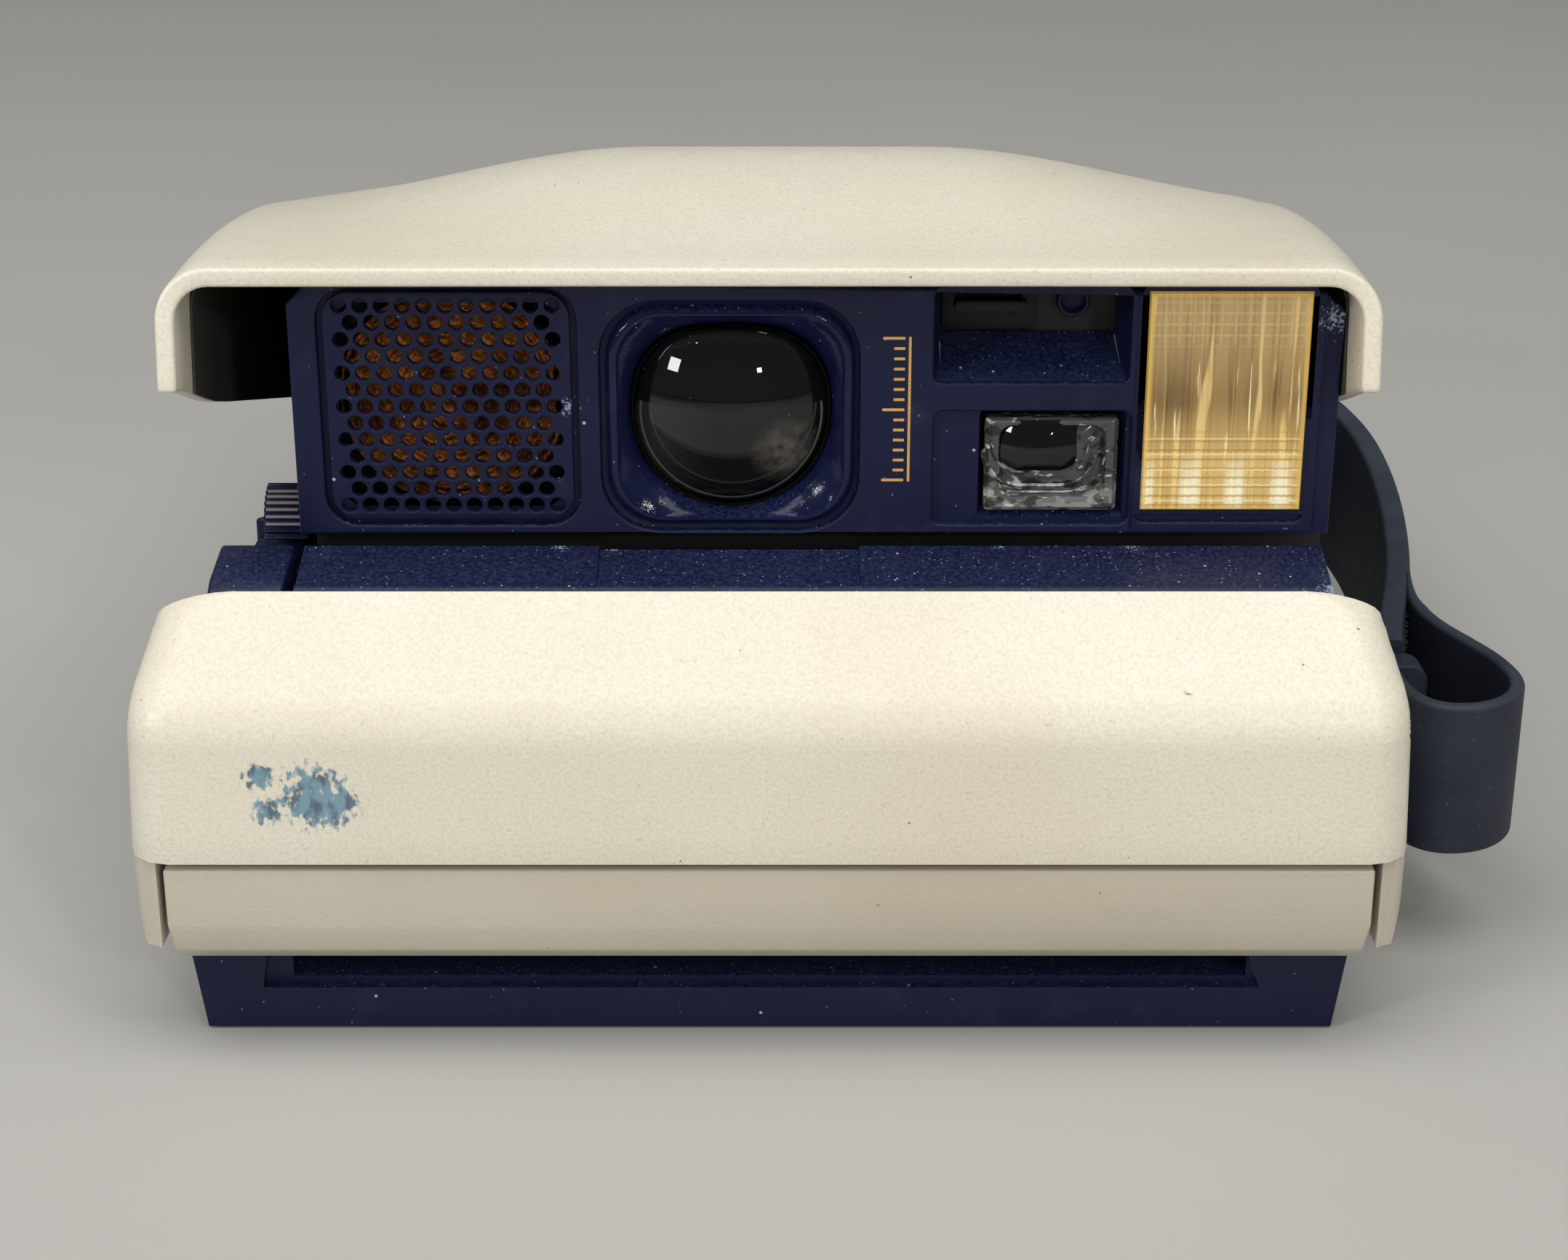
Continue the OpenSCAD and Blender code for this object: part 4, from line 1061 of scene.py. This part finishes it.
def squircle(half_w, half_h, radius):
    """Rounded rectangle about the lens, sampled at even angles."""
    points = []
    for k in range(LENS_STEPS):
        a = 2 * math.pi * k / LENS_STEPS
        c, s = math.cos(a), math.sin(a)
        reach = min(half_w / max(abs(c), 1e-9), half_h / max(abs(s), 1e-9))
        px, pz = half_w - radius, half_h - radius
        if abs(c) * reach > px and abs(s) * reach > pz:
            along = abs(c) * px + abs(s) * pz
            reach = along + math.sqrt(max(along * along - px * px - pz * pz + radius * radius, 0))
        points.append((LENS.x + c * reach, LENS.z + s * reach))
    return points


def lens_ring(radius, y, dome=0.0):
    """Outline of the lens at a radius: round below, flatter at the top; a dome bends it about its centre."""
    points = []
    power, top = 2.6, 0.9
    for k in range(LENS_STEPS):
        a = 2 * math.pi * k / LENS_STEPS
        c, s = math.cos(a), math.sin(a)
        reach = radius
        if s > 0:
            reach = radius / (abs(c) ** power + (s / top) ** power) ** (1 / power)
        bend = dome - math.sqrt(dome * dome - reach * reach) if dome else 0
        points.append((LENS.x + c * reach, y + bend, LENS.z + s * reach))
    return points


def lens_bezel():
    """Glossy rounded-square dish that narrows to a circle round the glass."""
    crest = PANEL_Y - 0.15
    rings = [at_y(squircle(14.5, 13.3, 6.3), PANEL_Y + 1.4), at_y(squircle(14.4, 13.2, 6.2), PANEL_Y + 0.7)]
    for half_w, half_h, radius, y in ((14.1, 12.9, 6, 0.25), (13.8, 12.7, 5.9, 0.06), (13.5, 12.5, 5.8, 0.0),
                                      (13.25, 12.3, 5.7, 0.06), (13.1, 12.2, 5.7, 0.3)):
        rings.append(at_y(squircle(half_w, half_h, radius), crest + y))
    start = squircle(13.0, 12.1, 5.7)
    goal = [(x, z) for x, _, z in lens_ring(LENS_R + 0.35, 0)]
    for i in range(1, 11):
        t = i / 10
        share = 1 - (1 - t) ** 1.6
        ring = [(mixed(a[0], b[0], share), mixed(a[1], b[1], share)) for a, b in zip(start, goal)]
        rings.append(at_y(ring, crest + 0.4 + 3.6 * t ** 1.3))
    rings.append(at_y(goal, crest + 6))
    finish(built("lens_bezel_dish", [loft(rings)]), "upper_unit", "navy_gloss", ["lens_bezel"])


def front_lens():
    """Domed front glass, its rim and its hollow back."""
    dome, front = LENS_DOME, LENS_LOW.y
    rings = [lens_ring(LENS_R * i / 24, front, dome) for i in range(1, 25)]
    edge = front + dome - math.sqrt(dome * dome - LENS_R * LENS_R) + 1.6
    rings.append(lens_ring(LENS_R, edge))
    rings += [lens_ring(LENS_R * i / 12, edge + 1.0 - 0.8 * (1 - (i / 12) ** 2)) for i in range(11, 0, -1)]
    finish(built("front_glass", [solid(rings)]), "upper_unit", "lens_glass", ["front_lens"],
           dark_glass(), 50)


def lens_inside():
    """Black barrel with stepped baffles behind the glass, and its trim ring in front."""
    y = PANEL_Y
    steps = [(LENS_R + 0.35, y + 2.5), (LENS_R + 0.05, y + 2.6), (LENS_R + 0.02, y + 6.6)]
    radius, depth, step = LENS_R - 0.3, y + 6.7, 0.75
    for _ in range(6):
        steps += [(radius, depth), (radius - 0.25, depth + 0.15), (radius - 0.3, depth + step)]
        radius -= step
        depth += step
    steps += [(5.2, depth), (5.0, depth + 1.5)]
    barrel = built("lens_barrel_inside", [loft([lens_ring(*ring) for ring in steps])])
    finish(barrel, "upper_unit", "black_plastic", ["lens_barrel"], paint=LENS_BLACK)


def light_sensor():
    """Photocell behind its ribbed window, with a round cell beside it."""
    deep = PANEL_Y + 9.3
    parts = [prism(round_rect(20.2, 31.4, 79.6, 86.4, 0.4, 3), deep - 0.9, deep, "y")]
    parts += [prism([(x - 0.28, 83.4), (x + 0.28, 83.4), (x + 0.28, 86.3), (x - 0.28, 86.3)],
                    deep - 1.7, deep, "y") for x in (22.4, 24.2, 26, 27.8, 29.6)]
    parts.append(prism(round_rect(21.6, 30.2, 82.2, 83.7, 0.7, 5), deep - 3.0, deep - 0.8, "y"))
    sensor = rounded_edges(built("light_sensor_window", parts), 0.12, 2)
    dark = Paint("sensor_black", tone(13, 14, 20), 0.4, Specular_IOR_Level=0.3).ready()
    finish(sensor, "upper_unit", "black_plastic", ["light_sensor"], paint=dark)
    ring = [(1.95, deep), (1.95, deep - 1.3), (1.8, deep - 1.5), (1.5, deep - 1.5), (1.35, deep - 1.3),
            (1.35, deep - 0.3), (0.02, deep - 0.3)]
    finish(built("light_cell_ring", [lathe_y(35.7, 83.2, ring, 40)]), "upper_unit", "navy_shell")


FINDER_EYE = Vector((31.6, 0, 66.9))
FINDER_BALL = 8.1


def finder_block():
    """Clear moulded finder block: a stepped frame that dips towards its centre."""
    x0, x1, z0, z1 = FINDER_LOW.x, FINDER_HIGH.x, FINDER_LOW.z, FINDER_HIGH.z
    y = FINDER_LOW.y
    box = (x0, x1, z0, z1, 0.5)
    steps = [shrunk(box, 0, 0, 0, 0, y + 6), shrunk(box, 0, 0, 0, 0, y + 0.5),
             shrunk(box, 0.5, 0.5, 0.5, 0.5, y, 0.4), shrunk(box, 1.6, 1.4, 1.7, 0.8, y, 1.6),
             shrunk(box, 1.9, 1.7, 2.0, 1.0, y + 0.9, 1.8)]
    for t in (0.2, 0.4, 0.6, 0.8, 0.95):
        gap = 1.9 + 5.4 * t
        steps.append((x0 + gap, x1 - gap + 0.2, z0 + 2.0 + 3.2 * t, z1 - 1.0 - 3.6 * t, 1.8 * (1 - t) + 0.3,
                      y + 0.9 - 1.1 * (1 - (1 - t) ** 2)))
    block = built("finder_block", [solid(step_rings(steps))])
    finish(block, "upper_unit", "clear_plastic", ["finder_lens"], paint=painted_clear_plastic("painted_clear_look"), sharp=20)


def finder_well():
    """Near-black dome in the middle of the finder block."""
    y, centre = FINDER_LOW.y, FINDER_EYE
    outline = round_rect(centre.x - 5.3, centre.x + 5.3, 65.1, FINDER_HIGH.z - 0.25, 3.0, 8)
    heart = Vector((centre.x, 68.2))
    rings = []
    for share in (1, 0.86, 0.72, 0.58, 0.44, 0.3, 0.16, 0.04):
        ring = []
        for p in [heart.lerp(Vector(p), share) for p in outline]:
            rise = math.sqrt(FINDER_BALL ** 2 - (p.x - centre.x) ** 2 - (p.y - centre.z) ** 2)
            ring.append((p.x, y + FINDER_BALL - 1.3 - rise, p.y))
        rings.append(ring)
    rings.insert(0, [(x, y + 2.6, z) for x, _, z in rings[0]])
    finish(built("finder_well", [solid(rings)]), "upper_unit", "lens_glass",
           paint=Paint("finder_black", tone(7, 7, 9), 0.04).ready(), sharp=50)


def finder_curves():
    """Thin bright lines that run round the well: painted highlights on the clear block."""
    y, middle_x, top = FINDER_LOW.y, FINDER_EYE.x, 70.6
    # painted highlight colour, broken by darker patches
    glint = Paint("finder_glint", tone(170, 171, 170), 0.15)
    glint.lay((52, 52, 54), glint.cloud(1.4, 3, 0.42, 0.56))
    section = ((1, 0, 1), (0, -1, 0), (-1, 0, -1), (0, 1, 0))
    curves = []
    for half, foot, corner, first, last, size in (
            (5.7, 64.7, 3.4, 0, 21, 0.12), (6.6, 63.0, 4.4, 1, 20, 0.24), (7.7, 62.2, 4.8, 9, 21, 0.14)):
        side = [(middle_x - half, top)] + arc(middle_x - half + corner, foot + corner, corner, 180, 270, 9)
        run = (side + [(2 * middle_x - x, z) for x, z in reversed(side)])[first:last]
        curves.append(solid([[(x + u * size, y - 0.05 + v * size, z + w * size) for u, v, w in section]
                             for x, z in run]))
    finish(built("finder_curves", curves), "upper_unit", "clear_plastic", paint=glint.ready(), sharp=60)


def finder_facets():
    """Clear facets behind the finder block's lower and side edges."""
    x0, x1, z0, z1 = FINDER_LOW.x, FINDER_HIGH.x, FINDER_LOW.z, FINDER_HIGH.z
    back = FINDER_LOW.y + 6.15
    facets = [prism([(x0 + 0.4, z0 + 0.3), (x1 - 0.4, z0 + 0.3), (x1 - 1.6, z0 + 1.5), (x0 + 1.6, z0 + 1.5)],
                    back, FINDER_LOW.y + 7.2, "y")]
    facets += [prism(round_rect(x - 0.35, x + 0.35, z0 + 1.7, z1 - 0.6, 0.2, 3),
                     back, FINDER_LOW.y + 7.0, "y") for x in (x0 + 0.7, x1 - 0.7)]
    finish(built("finder_facets", facets), "upper_unit", "clear_plastic")


def flash_lens():
    """Amber window: vertical flutes in front and cross prisms behind, in one solid."""
    x0, x1, z0, z1 = FLASH_LOW.x, FLASH_HIGH.x, FLASH_LOW.z, FLASH_HIGH.z
    front = FLASH_LOW.y
    thick = 1.7
    widths = [0.55, 0.8, 0.5, 1.0, 0.6, 0.45, 1.3, 0.5, 0.7, 1.5, 0.5, 0.9, 0.55, 1.4, 0.6, 0.5, 0.9, 0.45,
              0.7]
    scale = (x1 - x0 - 1.6) / sum(widths)
    across = [(x0, 0.5), (x0 + 0.15, 0.1), (x0 + 0.4, 0), (x0 + 0.8, 0)]
    x = x0 + 0.8
    for width in widths:
        width *= scale
        across += [(x + width * u, 0.2 * math.sin(math.pi * u)) for u in (0.2, 0.4, 0.6, 0.8, 1.0)]
        x += width
    across += [(x1 - 0.4, 0), (x1 - 0.15, 0.1), (x1, 0.5)]
    up = [(z0, 0.4), (z0 + 0.15, 0.1), (z0 + 0.4, 0), (z0 + 0.8, 0), (z1 - 0.8, 0), (z1 - 0.4, 0),
          (z1 - 0.15, 0.1), (z1, 0.4)]
    face = loft([[(x, front + max(a, b), z) for x, a in across] for z, b in up], closed=False)
    back, z = [(z0, thick), (z0 + 0.6, thick)], z0 + 0.6
    while z < z1 - 1.4:
        step = 0.8 if z < z0 + 9.5 or z > z1 - 6.5 else 2.4
        back += [(z + step * 0.5, thick + (0.34 if step < 1 else 0.12)), (z + step, thick)]
        z += step
    back.append((z1, thick))
    rear = loft([[(x, front + depth, z) for x in (x0, x1)] for z, depth in back], closed=False)
    rim_front = [(x, front + max(a, up[0][1]), z0) for x, a in across]
    rim_front += [(x1, front + max(0.5, b), z) for z, b in up[1:]]
    rim_front += [(x, front + max(a, up[-1][1]), z1) for x, a in reversed(across[:-1])]
    rim_front += [(x0, front + max(0.5, b), z) for z, b in reversed(up[1:-1])]
    rim_back = [(x, front + thick, z) for x, _, z in rim_front]
    window = built("flash_window", [face, rear, loft([rim_front, rim_back])])
    finish(window, "upper_unit", "amber_plastic", ["flash_lens"], sharp=25)


def flash_reflector():
    """Bright trough behind the flash window."""
    low, high = low_high("flash_reflector")
    centre = (low.z + high.z) / 2
    start = FLASH_LOW.y + 2.2
    angles = [math.radians(a) for a in range(-88, 89, 8)]
    curve = [(mixed(start, low.y + 10.4, math.cos(a) ** 0.9), centre + 12.6 * math.sin(a)) for a in angles]
    rings = [[(x, y, z) for y, z in curve] for x in (low.x + 0.4, high.x - 0.2)]
    skin = thickened(built("flash_trough", [loft(rings, closed=False)]), 0.3, 0.1)
    ends = [prism(curve, x, x + 0.3, "x") for x in (low.x + 0.1, high.x - 0.4)]
    finish(skin, "upper_unit", "reflector", ["flash_reflector"])
    finish(built("flash_trough_ends", ends), "upper_unit", "reflector")


def gold_scale():
    """Plain gold scale marks beside the lens."""
    line, tips, foot, pitch = 16.1, 15.7, 63.8, 1.23
    boxes = [(line, line + 0.3, foot - 0.2, foot + 17.4)]
    for k in range(15):
        length = 2.6 if k % 7 == 0 else 1.3
        z = foot + k * pitch
        boxes.append((tips - length, tips, z - 0.16, z + 0.16))
    marks = [prism(round_rect(*box, 0.12, 3), PANEL_Y - 0.05, PANEL_Y + 0.15, "y") for box in boxes]
    paint = Paint("gold_print", tone(222, 172, 92), 0.4)
    paint.lay((168, 124, 66), paint.cloud(0.5, 4, 0.55, 0.75, 0.7))
    paint.relief(paint.noise(0.2, 3), 0.02)
    finish(built("scale_marks", marks), "upper_unit", "gold_foil", paint=paint.ready())


def shutter_button():
    """Ribbed barrel button on its neck, with pale crests on its middle ribs: partly wear, partly a painted
    highlight.
    """
    low, high = low_high("shutter_button")
    y, z, radius = -59.4, high.z - 4.9, 4.6
    outline, crests = [], []
    for k in range(10):
        a = 88 + k * 10.5
        for da, dr in ((0, 0), (2.2, 0.42), (5.0, 0.42), (7.2, 0)):
            angle = math.radians(a + da)
            outline.append((y + (radius + dr) * math.cos(angle), z + (radius + dr) * math.sin(angle)))
        tip, crest = math.radians(a + 3.6), radius + 0.3
        if 1 < k < 8:
            crests.append(prism(circle(y + crest * math.cos(tip), z + crest * math.sin(tip), 0.22, 8),
                                low.x + 0.4, high.x - 0.7 - 0.3 * (k % 3), "x"))
    outline += [(y - 4.3, z - 0.7), (y + 4.2, z - 0.7), (y + 4.2, z + 2.6)]
    top = prism(outline, low.x + 0.1, high.x - 0.1, "x")
    neck = prism([(y - 2.4, low.z), (y + 2.6, low.z), (y + 2.6, z - 0.5), (y - 2.4, z - 0.5)],
                 low.x + 1.0, high.x - 0.8, "x")
    cap = rounded_edges(built("shutter_button_cap", [top, neck]), 0.14, 2, 30)
    finish(cap, "shutter_button", "navy_shell", ["shutter_button"], sharp=40)
    # pale rib crests: partly wear, partly a painted highlight on the middle rows
    crest_wear_and_highlight = Paint("rib_wear_and_highlight", tone(150, 144, 150), 0.35).ready()
    finish(built("shutter_button_crests", crests), "shutter_button", "navy_shell", paint=crest_wear_and_highlight, sharp=60)


# ---------------------------------------------------------------- strap

STRAP_LOW, STRAP_HIGH = low_high("strap_band")
BAND_THICK, BAND_BELLY = 3.4, 7.5
TAIL_THICK, TAIL_BELLY = 1.9, 0.6
TAIL_POINT = 26
BAND_PATH = [[(80, -51.5), (80.8, -46), (83.6, -36), (86, -26)],
             [(86, -26), (89, -12), (92.6, 12), (92.5, 32)],
             [(92.5, 32), (92.4, 56), (84, 78), (75.4, 92)]]
TAIL_PATH = [[(78.6, -57.4), (78, -64), (78.4, -72.7), (84.5, -72.7)],
             [(84.5, -72.7), (89.5, -72.7), (94.2, -68), (93.1, -61)],
             [(93.1, -61), (92, -53), (87.4, -48), (86.5, -41)],
             [(86.5, -41), (85.9, -37.5), (86.6, -33), (88.1, -27)]]


def chain(curves, steps):
    """Points along a chain of cubic curves."""
    points = [Vector(curves[0][0])]
    for p in curves:
        for i in range(1, steps + 1):
            t = i / steps
            points.append(Vector(p[0]) * (1 - t) ** 3 + Vector(p[1]) * 3 * t * (1 - t) ** 2
                          + Vector(p[2]) * 3 * t * t * (1 - t) + Vector(p[3]) * t ** 3)
    return points


def swept_band(path, thick, z0, z1, radius, belly=0.0, point_end=0):
    """Upright band along a path in plan, with round edges; the belly deepens its middle downward, and
    point_end counts the steps over which its end thins."""
    rings = []
    half, last = thick / 2, len(path) - 1
    for i, point in enumerate(path):
        slim = thick * (min(1, 0.2 + (last - i) / point_end) if point_end else 1)
        foot = z0 - belly * math.sqrt(max(math.sin(math.pi * (i / last)), 0))
        section = round_rect(half - slim, half, foot, z1, min(radius, slim * 0.48), 5)
        ahead = path[min(i + 1, last)] - path[max(i - 1, 0)]
        side = Vector((-ahead.y, ahead.x)).normalized()
        rings.append([(point.x + side.x * a, point.y + side.y * a, z) for a, z in section])
    return solid(rings)


def strap():
    """Rubber band along the body, and its tail looped back from the lug."""
    z0, z1 = STRAP_LOW.z, STRAP_HIGH.z
    band = swept_band(chain(BAND_PATH, 24), BAND_THICK, z0, z1, 0.8, BAND_BELLY)
    finish(built("hand_strap", [band]), "lower_body", "strap_rubber", ["strap_band"])
    tail = swept_band(chain(TAIL_PATH, 24), TAIL_THICK, z0 - 0.2, z1 + 0.1, 0.7, TAIL_BELLY, TAIL_POINT)
    finish(built("hand_strap_tail", [tail]), "lower_body", "strap_rubber", ["strap_tail"])


def strap_pile():
    """Small tufts on the inner face of the band, near the lug."""
    rng = random.Random(7)
    path = chain(BAND_PATH, 24)
    tufts = []
    for i in range(3, 17):
        for k in range(15):
            ahead = path[i + 1] - path[i]
            side = Vector((ahead.y, -ahead.x)).normalized()
            base = path[i] + side * 1.6 + ahead * rng.uniform(-0.5, 0.5)
            z = STRAP_LOW.z + 2.2 + k * 1.07 + rng.uniform(-0.3, 0.3)
            tip = base + side * rng.uniform(0.5, 0.95) + ahead.normalized() * rng.uniform(-0.3, 0.3)
            along = ahead.normalized() * 0.26
            ring = [(base.x + along.x, base.y + along.y, z), (base.x, base.y, z + 0.26),
                    (base.x - along.x, base.y - along.y, z), (base.x, base.y, z - 0.26)]
            tufts.append((ring + [(tip.x, tip.y, z + rng.uniform(-0.2, 0.3))],
                          [(0, 1, 4), (1, 2, 4), (2, 3, 4), (3, 0, 4), (3, 2, 1, 0)]))
    finish(built("strap_loop_pile", tufts, weld=False), "lower_body", "bellows_cloth")


# ---------------------------------------------------------------- bellows

def bellows():
    """Pleated light-tight bag between the lens and the film."""
    low, high = low_high("bellows")
    rings = []
    pleats = 9
    for i in range(2 * pleats + 1):
        t = i / (2 * pleats)
        inset = 1.9 if i % 2 else 0.2
        x0, x1 = mixed(-45.5, -20, t) + inset, mixed(43.5, 12, t) - inset
        y0, y1 = mixed(-43.8, -46.4, t) + inset, mixed(41, -29.5, t) - inset
        z = mixed(low.z + 0.2, high.z - 0.2, t)
        rings.append([(x, y, z) for x, y in round_rect(x0, x1, y0, y1, 2.5, 4)])
    bag = built("bellows_bag", [solid(rings)])
    finish(bag, "lower_body", "bellows_cloth", ["bellows"], sharp=20)
    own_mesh(bag)


# ---------------------------------------------------------------- carried-over nodes and the stage

BLACKENED = ("focus_element", "shutter_plate", "shutter_blade_left", "shutter_blade_right")


def repaint_nodes():
    """Gives every CAD node that stays the material of its slot."""
    for obj in frame["nodes"].values():
        for i, old in enumerate(obj.data.materials):
            slot = old.name.split(".")[0]
            if obj.name in BLACKENED:
                obj.data.materials[i] = LENS_BLACK
            elif slot in PAINTS:
                obj.data.materials[i] = PAINTS[slot]


def make_floor():
    half = 4.0
    mesh = bpy.data.meshes.new("floor")
    corners = [(x * half, y * half, 0) for x, y in ((-1, -1), (1, -1), (1, 1), (-1, 1))]
    mesh.from_pydata(corners, [], [(0, 1, 2, 3)])
    mesh.materials.append(floor_paint())
    floor = placed("floor", mesh)


repaint_nodes()
top_cover()
cover_shade_liner()
inner_walls()
front_cover()
soft_copies()
door_face()
lens_panel()
corner_glints()
panel_backs()
panel_foot()
sonar_grille()
lens_bezel()
front_lens()
lens_inside()
light_sensor()
finder_block()
finder_well()
finder_curves()
finder_facets()
flash_lens()
flash_reflector()
gold_scale()
shutter_button()
strap()
strap_pile()
bellows()
make_floor()
